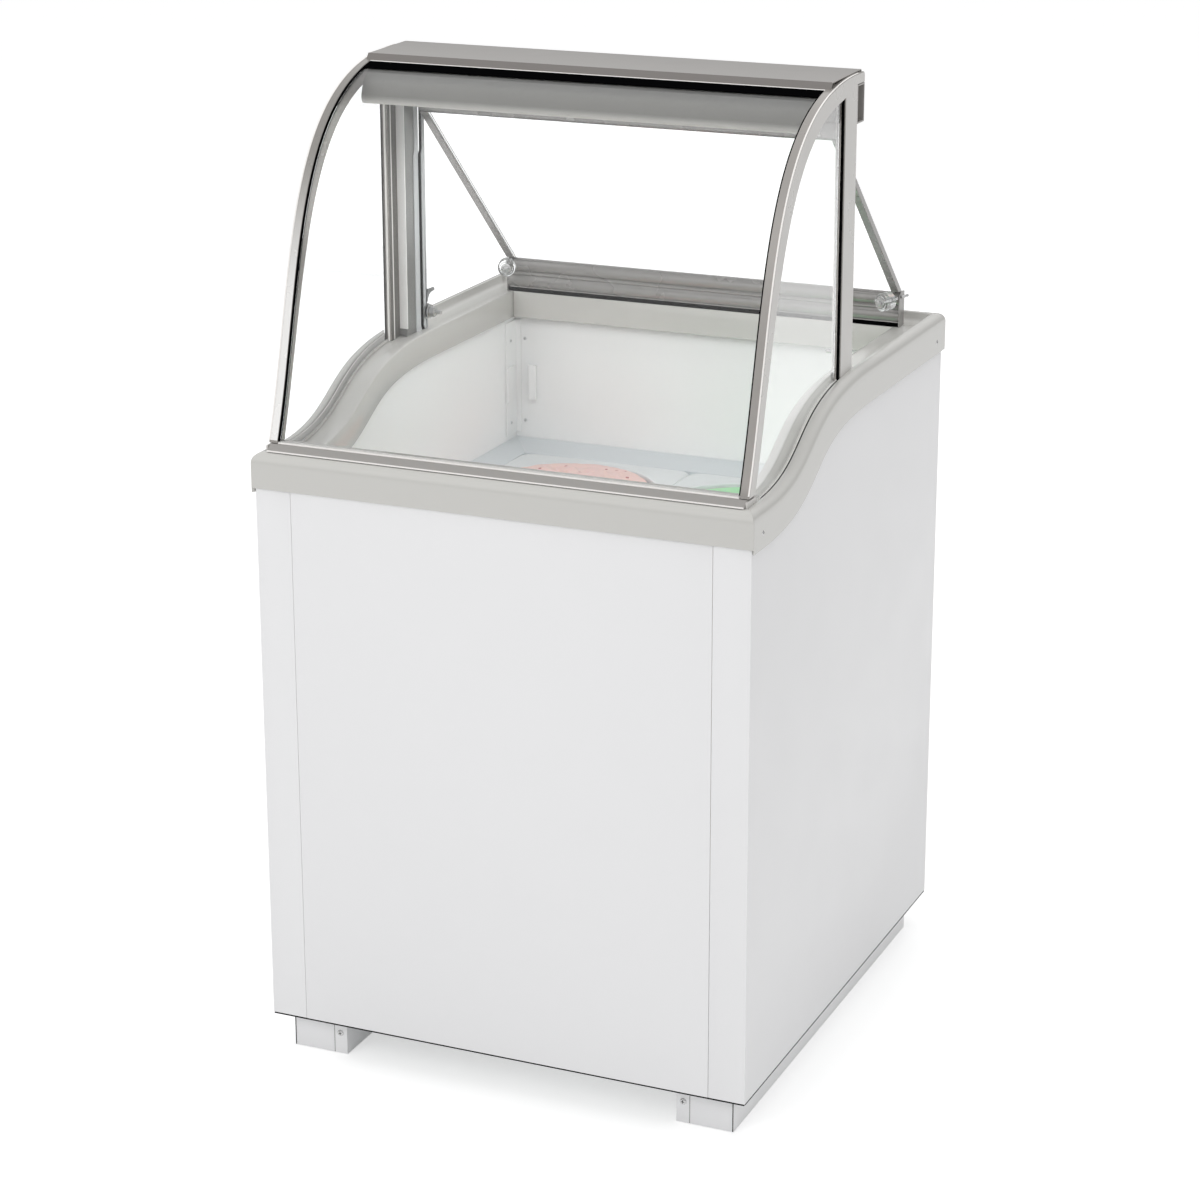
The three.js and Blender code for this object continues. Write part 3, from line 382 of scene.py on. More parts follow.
def make(name, shape, look, slot, nodes=(), body=CAB, edge=0.0, smooth=32.0):
    """A closed piece from (points in millimetres, faces), smooth below an angle, edges rounded."""
    points, faces = shape
    mesh = bpy.data.meshes.new(name)
    mesh.from_pydata((np.asarray(points, float) * MM).tolist(), [], faces)
    work = bmesh.new()
    work.from_mesh(mesh)
    bmesh.ops.remove_doubles(work, verts=work.verts, dist=2e-6)
    bmesh.ops.recalc_face_normals(work, faces=work.faces)
    work.to_mesh(mesh)
    work.free()
    mesh.shade_smooth()
    mesh.set_sharp_from_angle(angle=math.radians(smooth))
    piece = new_piece(name, mesh, look, body, nodes)
    if edge:
        round_edges(piece, edge)
    return piece


def make_pair(name, shape, look, slot, nodes=(), **finish):
    """The right-hand shape and its mirror image on the left."""
    points, faces = shape
    for side, sign in SIDES:
        placed = np.asarray(points) * np.array([sign, 1.0, 1.0])
        own_nodes = [f"{node}_{side}" for node in nodes]
        make(f"{name}_{side}", (placed, faces), look, slot, own_nodes, **finish)


def soften(look, slot, edge, *nodes, body=CAB):
    """CAD nodes' own shapes with their seams merged and their sharp edges rounded."""
    for node in nodes:
        work = bmesh.new()
        work.from_mesh(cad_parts[node].data)
        bmesh.ops.remove_doubles(work, verts=work.verts, dist=1e-6)
        bmesh.ops.dissolve_limit(
            work, angle_limit=math.radians(1.0), verts=work.verts, edges=work.edges
        )
        mesh = bpy.data.meshes.new(node + "_soft")
        work.to_mesh(mesh)
        work.free()
        round_edges(new_piece(node + "_soft", mesh, look, body, [node]), edge, angle=35)


def repaint(look, *nodes):
    """CAD nodes that keep their own mesh and get a finish."""
    for node in nodes:
        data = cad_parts[node].data
        data.materials.clear()
        data.materials.append(look)


def loft(loops, ring=False):
    """Skin over equal loops of points in turn; ring closes last to first, else ends are capped."""
    loops = np.asarray(loops, float)
    count, size = loops.shape[:2]
    here = np.arange(count * size).reshape(count, size)
    beside = np.roll(here, -1, axis=1)
    quads = np.stack(
        [here, beside, np.roll(beside, -1, axis=0), np.roll(here, -1, axis=0)], axis=-1
    )
    if ring:
        return loops.reshape(-1, 3), quads.reshape(-1, 4).tolist()
    caps = [here[0][::-1].tolist(), here[-1].tolist()]
    return loops.reshape(-1, 3), quads[:-1].reshape(-1, 4).tolist() + caps


def flat_loop(outline, axis, at):
    """An outline in the plane across an axis: (y, z) for x, (x, z) for y, (x, y) for z."""
    outline = np.asarray(outline, float)
    level = np.full((len(outline), 1), float(at))
    a, b = outline[:, :1], outline[:, 1:]
    order = {"x": [level, a, b], "y": [a, level, b], "z": [a, b, level]}[axis]
    return np.hstack(order)


def prism(outline, axis, low, high):
    """An outline carried straight along an axis."""
    return loft([flat_loop(outline, axis, low), flat_loop(outline, axis, high)])


def across(outline, half):
    """An outline carried straight from side to side."""
    return prism(outline, "x", -half, half)


def brick(x0, x1, y0, y1, z0, z1):
    """Box between two levels on each axis."""
    return prism([(x0, y0), (x1, y0), (x1, y1), (x0, y1)], "z", z0, z1)


def turned(profile, axis, centre, steps=72):
    """A profile of (radius, height) turned about an axis through centre."""
    profile = np.asarray(profile, float)
    angle = np.linspace(0, 2 * np.pi, steps, endpoint=False)
    radius, height = profile[:, :1], profile[:, 1:]
    a = radius * np.cos(angle)
    b = radius * np.sin(angle)
    h = np.repeat(height, steps, axis=1)
    parts = {"x": (h, a, b), "y": (a, h, b), "z": (a, b, h)}[axis]
    return loft(np.stack(parts, axis=-1) + np.asarray(centre, float))


def arc(cx, cy, radius, start, end, steps):
    """Points on a circle between two angles in degrees."""
    t = np.radians(np.linspace(start, end, steps))
    return np.stack([cx + radius * np.cos(t), cy + radius * np.sin(t)], axis=-1)


def rounded_rect(x0, x1, y0, y1, radius, steps=8):
    """Anticlockwise rectangle with round corners."""
    return np.vstack([
        arc(x1 - radius, y0 + radius, radius, -90, 0, steps),
        arc(x1 - radius, y1 - radius, radius, 0, 90, steps),
        arc(x0 + radius, y1 - radius, radius, 90, 180, steps),
        arc(x0 + radius, y0 + radius, radius, 180, 270, steps),
    ])


def bezier(p0, p1, p2, p3, steps):
    """Cubic curve through p0 and p3, drawn towards p1 and p2."""
    t = np.linspace(0, 1, steps)[:, None]
    p0, p1, p2, p3 = (np.asarray(p, float) for p in (p0, p1, p2, p3))
    return (
        (1 - t) ** 3 * p0 + 3 * t * (1 - t) ** 2 * p1 + 3 * t**2 * (1 - t) * p2 + t**3 * p3
    )


def smooth_line(points, steps):
    """Catmull-Rom curve through points, evenly many steps to each stretch."""
    p = np.asarray(points, float)
    p = np.vstack([2 * p[0] - p[1], p, 2 * p[-1] - p[-2]])
    t = np.linspace(0, 1, steps, endpoint=False)[None, :, None]
    a, b, c, d = (p[k : len(p) - 3 + k, None, :] for k in range(4))
    curve = 0.5 * (
        2 * b + (c - a) * t + (2 * a - 5 * b + 4 * c - d) * t**2 + (3 * b - a - 3 * c + d) * t**3
    )
    return np.vstack([curve.reshape(-1, p.shape[1]), p[-2]])


def sideways(line):
    """Unit normal at each point of a flat line, to the left of its run."""
    run = np.gradient(np.asarray(line, float), axis=0)
    run /= np.linalg.norm(run, axis=1, keepdims=True)
    return np.stack([-run[:, 1], run[:, 0]], axis=-1)


def band(line, near, far):
    """Closed outline between two lines beside a line, at signed distances to its left."""
    line = np.asarray(line, float)
    return np.vstack([line + sideways(line) * near, (line + sideways(line) * far)[::-1]])


def evenly(outline, count):
    """A closed outline walked round in equal steps."""
    p = np.vstack([outline, outline[:1]])
    walked = np.concatenate([[0.0], np.cumsum(np.linalg.norm(np.diff(p, axis=0), axis=1))])
    at = np.linspace(0, walked[-1], count, endpoint=False)
    return np.stack([np.interp(at, walked, p[:, k]) for k in (0, 1)], axis=-1)


def inset(outline, by):
    """The outline drawn in by a distance, each corner along the mean of its edges' normals."""
    p = np.asarray(outline, float)
    p = p[np.linalg.norm(p - np.roll(p, 1, axis=0), axis=1) > 0.05]
    run = np.roll(p, -1, axis=0) - p
    area = np.sum(p[:, 0] * np.roll(p[:, 1], -1) - p[:, 1] * np.roll(p[:, 0], -1))
    normal = np.stack([-run[:, 1], run[:, 0]], axis=-1) * np.sign(area)
    normal /= np.linalg.norm(normal, axis=1, keepdims=True)
    mean = normal + np.roll(normal, 1, axis=0)
    spread = 1 + np.sum(normal * np.roll(normal, 1, axis=0), axis=1, keepdims=True)
    return p + mean / np.clip(spread, 0.4, 2) * by


# ------------------------------------------------------------------ sizes shared with the frame
RIM_HALF_X, RIM_HALF_Y = 341.0, 369.5
OPEN_HALF_X, OPEN_HALF_Y = 285.0, 301.5
RIM_FRONT, RIM_REAR = 827.0, 914.0
SKIN = 0.9  # the skirts stand in by this much, so that screw heads can stand proud
FLOOR_DROP = 12.5
FLANGE = 50.0
RISE_CURVE = ((-328.0, 827.0), (-134.0, 827.0), (-207.0, 914.0), (50.0, 914.0))
BAR_FRONT = ((-350.0, 829.0), (-266.5, 1045.5), (-290.0, 1293.0), (20.0, 1291.5))
BAR_INNER = ((-328.0, 829.0), (-257.0, 1035.0), (-246.0, 1240.0), (-37.0, 1264.5))
BAR_FOOT = 836.4
BAR_IN, BAR_OUT = 313.0, 325.0  # faces of the side frame
POST_FRONT, POST_BACK = -27.0, 17.5
POST_TOP = 1264.0
BEAM_UNDER = 1227.5
RUNNER_FACE = -346.5

# ------------------------------------------------------------------ cabinet
for side, _ in SIDES:
    soften(WHITE, "white_steel", 1.6, f"side_panel_{side}")
    soften(WHITE, "white_steel", 1.0, f"base_runner_{side}")
    soften(WHITE, "white_steel", 0.5, f"runner_cap_{side}")
    soften(LINER, "white_plastic", 0.6, f"corner_strip_{side}")
soften(WHITE, "white_steel", 0.5, "front_panel", "rear_panel")
soften(WHITE, "white_steel", 0.4, "service_grille")
soften(LINER, "white_plastic", 0.5, "tank_liner")
soften(LEDGE, "white_plastic", 0.6, "cover_support_frame")
soften(ZINC, "zinc", 0.6, "control_box")
soften(BLACK, "black_plastic", 0.5, "lamp_switch", body="switch")
soften(BLACK, "black_plastic", 0.6, "cord_gland")
repaint(FOAM, "foam_insulation")
repaint(COPPER, "evaporator_tube")
repaint(ZINC, "base_pan", "condenser", "fan_shroud", "fan_blade")
repaint(BLACK_STEEL, "compressor", "fan_motor")


# ------------------------------------------------------------------ rims
def rim_profile(skirt, crown):
    """Rim section as (distance in, rise): skirt, crown, glass groove, dished floor, flange."""
    return np.vstack([
        [(SKIN, -skirt), (SKIN, -(crown + 14.0)), (SKIN, -(crown + 2.0))],
        arc(SKIN + crown, -crown, crown, 180, 100, 12),
        [(15.2, 0.0)],
        arc(15.4, -1.2, 1.2, 80, 0, 4),
        [(17.4, -8.0), (19.5, -11.6), (26.0, -12.9), (34.0, -13.2), (42.0, -12.6), (50.0, -11.4)],
        arc(53.9, -13.5, 2.1, 88, 0, 6),
        [(56.0, -FLANGE + 1.0), (55.0, -FLANGE), (53.0, -FLANGE), (52.0, -FLANGE + 1.0)],
        [(52.0, -18.0), (SKIN + 3.4, -18.0), (SKIN + 3.0, -skirt)],
    ])


RIM_WIDTH = RIM_HALF_X - OPEN_HALF_X  # of a side rim
END_WIDTH = RIM_HALF_Y - OPEN_HALF_Y  # of the front and rear rims
CREST_WIDTH = 16.0  # both have the same crest, and the rest is stretched
MITRE = END_WIDTH / RIM_WIDTH
JOINT = 0.12


def side_rim():
    """The section carried square to the S-curve, each end cut back to the corner joint."""
    rise = bezier(*RISE_CURVE, 90)
    front = np.stack([np.linspace(-RIM_HALF_Y, -330, 8), np.full(8, RIM_FRONT)], axis=-1)
    rear = np.stack([np.linspace(58, RIM_HALF_Y, 24), np.full(24, RIM_REAR)], axis=-1)
    path = np.vstack([front, rise, rear])
    normal = sideways(path)
    depth, lift = rim_profile(52.0, 13.0).T
    y = path[:, :1] + normal[:, :1] * lift
    z = path[:, 1:] + normal[:, 1:] * lift
    for k, reach in enumerate(RIM_HALF_Y - depth * MITRE - JOINT):
        order = np.argsort(y[:, k])
        held = np.clip(y[:, k], -reach, reach)
        held[0], held[-1] = -reach, reach
        z[:, k] = np.interp(held, y[order, k], z[order, k])
        y[:, k] = held
    x = np.broadcast_to(RIM_HALF_X - depth, y.shape)
    return loft(np.stack([x, y, z], axis=-1))


def end_rim(sign, top, skirt, crown):
    """The straight rim at the front or back, cut to the same corner joints."""
    depth, lift = rim_profile(skirt, crown).T
    stretch = (END_WIDTH - CREST_WIDTH) / (RIM_WIDTH - CREST_WIDTH)
    wide = np.where(depth > CREST_WIDTH, CREST_WIDTH + (depth - CREST_WIDTH) * stretch, depth)
    reach = RIM_HALF_X - wide / MITRE - JOINT
    y = sign * (RIM_HALF_Y - wide)
    return loft([
        np.stack([share * reach, y, top + lift], axis=-1) for share in np.linspace(-1, 1, 13)
    ])


make_pair("rim_moulding", side_rim(), RIM, "rim_plastic", ["rim"], smooth=50)
for end, sign, top, skirt, crown in (
    ("front", -1, RIM_FRONT, 46.0, 15.0), ("rear", 1, RIM_REAR, 52.0, 13.0),
):
    shape = end_rim(sign, top, skirt, crown)
    make(f"rim_moulding_{end}", shape, RIM, "rim_plastic", [f"rim_{end}"], smooth=50)


def pan_head(name, centre, axis, sign, radius, height, look=STEEL, recess=BLACK):
    """Domed screw head with a cross recess, turned about an axis and facing sign."""
    dome = np.array([
        (0, height), (radius * 0.45, height * 0.97), (radius * 0.8, height * 0.72),
        (radius, height * 0.25), (radius, -0.4), (0, -0.4),
    ])
    dome[:, 1] *= sign
    make(name, turned(dome, axis, centre, 24), look, "zinc", smooth=40)
    along = "xyz".index(axis)
    first, second = (k for k in range(3) if k != along)
    for turn, (long_way, short_way) in enumerate(((first, second), (second, first))):
        half = np.zeros(3)
        half[long_way], half[short_way] = radius * 0.5, radius * 0.11
        low, high = centre - half, centre + half
        low[along] += min(sign * (height - 0.5), sign * (height + 0.05))
        high[along] += max(sign * (height - 0.5), sign * (height + 0.05))
        slot_shape = brick(*np.stack([low, high], axis=1).ravel())
        make(f"{name}_slot{turn}", slot_shape, recess, "black_plastic")


for side, sign in SIDES:
    for end, y, z in (("front", -337.0, 794.7), ("rear", 333.0, 879.0)):
        x = sign * (RIM_HALF_X - SKIN - 0.9)
        pan_head(f"rim_screw_{end}_{side}", (x, y, z), "x", sign, 3.6, 1.7)
    pan_head(f"runner_screw_{side}", (sign * 246.0, RUNNER_FACE - 0.1, 30.0), "y", -1.0, 4.4, 2.0)

# ------------------------------------------------------------------ sill
SILL = [(-357.3, 827.5), (-357.3, 829.2), (-347.6, 835.9), (-324.2, 835.9), (-324.2, 832.2),
        (-337.0, 832.2), (-337.0, 814.9), (-343.0, 814.9), (-343.0, 827.5)]
TRIM = [(-346.6, 835.9), (-346.6, 837.4), (-344.6, 838.0), (-338.2, 838.0), (-338.2, 835.9)]
LIP = [(-358.0, 827.5), (-358.0, 829.0), (-357.3, 829.4), (-357.3, 827.5)]
UNDER = [(-357.4, 826.9), (-357.4, 827.4), (-355.0, 827.4), (-355.0, 826.9)]
SILL_END = brick(323.05, 325.5, -353.6, -322.5, 820.0, 834.8)
make("sill_moulding", across(SILL, 323.0), GUARD, "guard_frame", ["sill_rail"], edge=0.5)
make("sill_light_trim", across(TRIM, 312.4), POST, "side_frame", edge=0.3)
make("sill_lip_line", across(LIP, 322.4), POST, "side_frame")
make_pair("sill_end_cap", SILL_END, FACE, "guard_frame", edge=0.4)
make("sill_under_seal", across(UNDER, 320.0), GASKET_AND_SHADE, "gasket")

# ------------------------------------------------------------------ seams and painted shade low down
# painted shade: black strips under the lower edges of the front and side panels
make("panel_toe_shade", brick(-335.5, 335.5, -364.9, -362.6, 50.2, 51.6), GASKET_AND_SHADE, "gasket")
make_pair("side_toe_shade", brick(334.8, 336.3, -362.2, 363.0, 50.4, 51.6), GASKET_AND_SHADE, "gasket")
for name, x_from, x_to, look, slot in (
    ("runner_seam", 254.7, 255.4, WEB, "white_steel"),
    # painted shade: black line in the gap at the runner cap's outer end
    ("runner_corner_gap_shade", 313.3, 314.4, GASKET_AND_SHADE, "gasket"),
):
    line = brick(x_from, x_to, RUNNER_FACE - 0.35, RUNNER_FACE + 0.1, 0.8, 49.2)
    make_pair(name, line, look, slot)


# ------------------------------------------------------------------ side frames
def rim_floor_line(y_from, y_to, lift, steps):
    """The rim's S-curve moved square to itself by lift, between two depths."""
    rise = bezier(*RISE_CURVE, 160)
    path = np.vstack([[(-RIM_HALF_Y, RIM_FRONT)], rise, [(RIM_HALF_Y, RIM_REAR)]])
    line = path + sideways(path) * lift
    y = np.linspace(y_from, y_to, steps)
    return np.stack([y, np.interp(y, line[:, 0], line[:, 1])], axis=-1)


def side_frame():
    """Bar, head and post in one plate: curved front, curved inner edge, straight post."""
    front = bezier(*BAR_FRONT, 64)
    front = front[front[:, 1] > BAR_FOOT]
    toe = np.interp(BAR_FOOT, front[:2, 1], front[:2, 0]) - 0.3
    inner = bezier(*BAR_INNER, 56)
    inner = inner[inner[:, 1] > BAR_FOOT][::-1]
    return np.vstack([
        [(toe, BAR_FOOT)],
        front,
        [(40.0, 1291.2), (43.4, 1289.5), (44.0, 1286.0), (44.0, 1277.6), (POST_BACK, 1277.6)],
        rim_floor_line(POST_FRONT, POST_BACK, -FLOOR_DROP + 0.5, 12)[::-1],
        [(POST_FRONT, 1267.0), (-37.0, 1265.0)],
        inner[1:],
        [(inner[-1, 0], BAR_FOOT)],
    ])


def front_strip(x_from, x_to, lift):
    """Thin skin on the front of the bar, following its curve."""
    line = bezier(*BAR_FRONT, 120)
    return prism(band(line[line[:, 1] > 838.0], lift, 0.05), "x", x_from, x_to)


def post_strip(y_from, y_to, x_from, x_to, foot=0.5, top=POST_TOP):
    """Upright strip on the post, its foot following the rim."""
    low = rim_floor_line(y_from, y_to, -FLOOR_DROP + foot, 8)
    return prism(np.vstack([low, [(y_to, top), (y_from, top)]]), "x", x_from, x_to)


frame_plate = prism(side_frame(), "x", BAR_IN, BAR_OUT)
make_pair("guard_frame", frame_plate, BAR, "side_frame", ["side_frame"], edge=0.7)
# lighter skin on the frame's outer side face: painted light
face_plate = prism(inset(side_frame(), 0.9), "x", BAR_OUT + 0.02, BAR_OUT + 0.3)
make_pair("guard_face", face_plate, FACE, "side_frame")
# painted reflection down the left bar's front, near-white at its foot and grey above
make("bar_painted_sheen_left", front_strip(-323.0, -313.4, 0.3), PAINTED_SHEEN, "side_frame")
# painted highlight along the bars' rounded front edges
make_pair("bar_edge_highlight", front_strip(323.2, 325.3, 0.4), POST, "side_frame")
for name, shape, look, edge in (
    # painted shade on the post's inner side face
    ("post_side_face", post_strip(-26.4, -2.2, 312.5, 312.95), PAINTED_SHADE, 0.0),
    ("post_side_line", post_strip(-19.6, -16.8, 312.4, 312.5), POST, 0.0),
    # channel front: white with a painted highlight, lighter than its shaded place would give
    ("post_channel_front", post_strip(-2.0, 0.2, 301.0, 312.9, 10.5), STRIP_AND_HIGHLIGHT, 0.4),
    ("post_channel_foot", post_strip(-2.4, 0.2, 300.8, 312.9, 0.5, 910.0), WEB, 0.4),
    ("post_channel_web", post_strip(0.4, 30.0, 301.0, 303.0), WEB, 0.4),
    ("post_channel_back", post_strip(28.0, 30.0, 303.2, 312.9, 0.5, 1227.0), WEB, 0.4),
):
    make_pair(name, shape, look, "side_frame", edge=edge)


# ------------------------------------------------------------------ side panes
PANE_BACK = -37.6


def side_glass():
    """Flat pane with its curved edge along the bar and its foot in the rim's groove."""
    top = bezier(*BAR_INNER, 60)
    top = top + sideways(top) * -0.4
    top = top[(top[:, 1] > 838.5) & (top[:, 0] < PANE_BACK)][::-1]
    low = rim_floor_line(-322.0, PANE_BACK, -FLOOR_DROP + 1.6, 50)
    return prism(np.vstack([low, [(PANE_BACK, 1263.0)], top]), "x", 317.0, 321.0)


def pane_foot(rise, x_from, x_to):
    """Thin strip along the foot of the side pane, rise tall, tapering to the bar."""
    start, taper = -321.0, 20.0
    lower, upper = (rim_floor_line(start, -33.0, -FLOOR_DROP + at, 60) for at in (1.2, rise))
    share = np.clip((lower[:, :1] - start) / taper, 0.06, 1.0)
    return prism(np.vstack([lower, (lower + (upper - lower) * share)[::-1]]), "x", x_from, x_to)


def post_gasket(x_from, x_to, y_from):
    """Upright lip of the seal at the side pane's rear edge, leaning with the bar's head."""
    y_to, z_to, lean = -27.3, 1266.2, 0.26
    low = rim_floor_line(y_from, y_to, -FLOOR_DROP + 0.6, 6)
    top = [(y_to, z_to), (y_from, z_to - (y_to - y_from) * lean)]
    return prism(np.vstack([low, top]), "x", x_from, x_to)


make_pair("side_pane", side_glass(), SIDE_GLASS, "clear_glass", ["side_glass"], edge=0.4)
make_pair("pane_foot_seal", pane_foot(11.6, 322.9, 324.0), GASKET_AND_SHADE, "gasket")
make_pair("pane_foot_trim", pane_foot(12.4, 321.3, 322.8), POST, "side_frame", edge=0.3)
make_pair("pane_foot_inner", pane_foot(5.0, 315.4, 316.8), FACE, "side_frame", edge=0.3)
make_pair("post_gasket", post_gasket(321.2, 323.8, -31.6), GASKET_AND_SHADE, "gasket", ["glass_gasket"],
          edge=0.4)
make_pair("post_inner_seal", post_gasket(314.6, 316.8, -29.8), POST, "gasket", edge=0.3)


# ------------------------------------------------------------------ bent front pane
def behind_bar(near, far, y_to, z_from=0.0, y_from=-RIM_HALF_Y, steps=120):
    """Outline between two lines set in from the bars' front curve, over a stretch of it."""
    line = bezier(*BAR_FRONT, steps)
    outer = line + sideways(line) * -near
    inner = line + sideways(line) * -far
    keep = (outer[:, 1] > z_from) & (outer[:, 0] > y_from) & (outer[:, 0] < y_to)
    return np.vstack([outer[keep], inner[keep][::-1]])


def pane_side_seal(far, x_from, x_to):
    """Black seal that follows the bent pane's edge beside the bar."""
    return prism(behind_bar(0.4, far, -78.0, 838.2), "x", x_from, x_to)


make("front_pane", across(behind_bar(1.5, 6.5, -71.6, 836.6), 311.2), GLASS, "clear_glass",
     ["front_glass"], smooth=40)
make_pair("front_pane_seal", pane_side_seal(9.0, 311.5, 312.8), GASKET_AND_SHADE, "gasket")
make("front_seal_lip_left", pane_side_seal(1.4, -311.4, -309.8), GASKET_AND_SHADE, "gasket")
TOP_SEAL = behind_bar(0.1, 1.3, -71.0, y_from=-94.0, steps=400)
make("front_pane_top_seal", across(TOP_SEAL, 312.4), GASKET_AND_SHADE, "gasket", smooth=40)


# ------------------------------------------------------------------ canopy, lamp and rear beam
def bent_sheet(points, radius, thick, steps=6):
    """Outline of a sheet folded at each inner point with that bend radius."""
    p = np.asarray(points, float)
    line = [p[0]]
    for before, at, after in zip(p[:-2], p[1:-1], p[2:]):
        back, ahead = np.linalg.norm(before - at), np.linalg.norm(after - at)
        cut = min(radius, 0.45 * back, 0.45 * ahead)
        start, end = at + (before - at) / back * cut, at + (after - at) / ahead * cut
        t = np.linspace(0, 1, steps)[:, None]
        line.extend((1 - t) ** 2 * start + 2 * t * (1 - t) * at + t**2 * end)
    line.append(p[-1])
    return band(line, 0.0, thick)


CANOPY = [(-69.4, 1283.0), (-63.4, 1291.5), (44.0, 1293.3), (46.0, 1291.6), (46.0, 1279.0)]
BROW_LINE = [(-69.75, 1283.2), (-63.65, 1291.7)]
LIP_EDGE = [(-71.3, 1280.9), (-71.3, 1282.8), (-69.4, 1283.6), (-68.6, 1281.8)]
HOUSING = [(10, 1291.0), (-54, 1289.9), (-61.5, 1285.0), (-70, 1275.4), (-82, 1269),
           (-93, 1259.5), (-99.6, 1247.5), (-101.6, 1237), (-97.4, 1231.0), (-84, 1228.6)]
TUBE = [(0, -276), (5, -276), (7.4, -274.5), (8, -272), (8, 272), (7.4, 274.5), (5, 276), (0, 276)]
BROW_HALF = 319.6
make("canopy_cover", across(bent_sheet(CANOPY, 1.5, -1.3), 320.0), GUARD, "guard_frame",
     ["canopy"], edge=0.35)
# painted shade on the canopy's sloping front face, a darker copy of its grey
make("canopy_brow_shade", across(band(BROW_LINE, 0.0, 0.25), BROW_HALF), BROW_SHADE, "guard_frame")
# painted highlight: pale line along the canopy lip's lower edge
make("canopy_lip_highlight", across(LIP_EDGE, BROW_HALF), POST, "side_frame")
# the lamp cover's finish paints a highlight along its lower lip
make("lamp_cover", across(band(smooth_line(HOUSING, 6), 0.0, 1.4), 310.5), REFLECTOR,
     "lamp_reflector", ["lamp_housing"], smooth=50)
make("lamp_tube", turned(TUBE, "x", (0, -66, 1252), 32), LAMP, "lamp_tube", ["lamp"], smooth=40)
for side, sign in SIDES:
    ends = sorted((sign * 274.0, sign * 286.0))
    make(f"lamp_socket_{side}", brick(*ends, -76, -44, 1240, 1266), COVER, "white_plastic",
         edge=2.0)
    make(f"lamp_bridge_{side}", brick(*ends, -54, -44, 1266.2, 1287.4), ZINC, "zinc", edge=0.5)
soften(GUARD, "guard_frame", 0.7, "rear_beam")


# ------------------------------------------------------------------ posts' inner plates
def plate(y_from, y_to, z_foot, radius, x_from, x_to):
    """Upright plate with a round corner at its lower front and another at its lower back."""
    step, back_radius = 3.0, 3.0
    outline = np.vstack([
        [(y_to, BEAM_UNDER), (y_from + step, BEAM_UNDER), (y_from + step, 1150.0)],
        [(y_from, 1143.0)],
        arc(y_from + radius, z_foot + radius, radius, 180, 270, 14),
        arc(y_to - back_radius, z_foot + back_radius, back_radius, 270, 360, 6),
    ])
    return prism(outline, "x", x_from, x_to)


def ring_of(radius, hole, low, high, steps):
    """Nut or washer on the cross bolt: an outer ring, an inner ring and its two faces."""
    section = ((low, radius), (low, hole), (high, hole), (high, radius))
    last = 360 - 360 / steps
    return loft([
        flat_loop(arc(BOLT_Y, BOLT_Z, size, 0, last, steps), "x", level)
        for level, size in section
    ], ring=True)


BOLT_Y, BOLT_Z = 50.0, 925.0
BOLT = [(0, 275.0), (2.0, 275.0), (3.0, 276.4), (3.0, 297.6), (0, 297.6)]
HOOK = np.vstack([
    [(298.9, 938.0), (298.9, 955.0), (287.2, 960.0), (286.0, 955.6)],
    bezier((288.0, 954.0), (293.0, 952.0), (296.0, 947.0), (296.6, 938.0), 8),
])
make_pair("bracket_base", plate(23.0, 37.0, 898.0, 6.0, 299.8, 300.9), PLATE, "zinc")
# painted shadow: black plate showing as a line along the bracket plate's front edge and round foot
make_pair("bracket_edge_shadow", plate(36.0, 51.0, 897.0, 13.0, 299.1, 299.7), GASKET_AND_SHADE, "gasket")
make_pair("bracket_plate", plate(42.0, 52.0, 900.5, 8.0, 297.8, 299.0), PLATE, "zinc",
          ["bracket_plate"], edge=0.3)
for name, shape, look, slot, edge in (
    ("arm_washer", ring_of(11.0, 3.0, 296.2, 297.7, 40), STEEL, "zinc", 0.3),
    ("arm_spacer", ring_of(8.0, 3.0, 293.8, 296.0, 32), BLACK, "black_plastic", 0.3),
    ("arm_ring", ring_of(10.0, 3.0, 292.2, 293.6, 40), STEEL, "zinc", 0.3),
    ("arm_nut", ring_of(7.6, 2.8, 284.6, 292.0, 6), STEEL, "zinc", 0.6),
    ("arm_bolt", turned(BOLT, "x", (0, BOLT_Y, BOLT_Z), 24), STEEL, "zinc", 0.0),
    ("plate_hook", prism(HOOK, "y", 50.0, 52.0), STEEL, "zinc", 0.2),
):
    make_pair(name, shape, look, slot, edge=edge)

# ------------------------------------------------------------------ rear lid
LID_TOP, LID_END = np.array([38.0, 1203.0]), np.array([303.0, 953.5])
HANDLE_TOP = 951.8
HANDLE_HALF = 293.6
LID = {"look": LID_GREY, "slot": "lid_rail", "body": "lid"}


def lid_section(thick, z_from):
    """Strip slanting from a level down to the handle rail, thick as measured square to it."""
    run = LID_END - LID_TOP
    z = np.array([z_from, HANDLE_TOP])
    y = LID_TOP[0] + (z - LID_TOP[1]) * run[0] / run[1]
    half = thick / 2 * np.linalg.norm(run) / -run[1]
    near, far = (np.stack([y + side, z], axis=-1) for side in (-half, half))
    return np.vstack([near, far[::-1]])


def handle_outline():
    """Two rolls one above the other on a flat back."""
    return np.vstack([
        [(321.8, 908.0), (303.5, 908.0)],
        arc(310.5, 917.6, 10.4, 232, 125, 14),
        [(303.6, 927.0), (303.6, 929.0)],
        arc(312.0, 940.0, 10.8, 235, 85, 20),
        [(321.8, 949.0)],
    ])


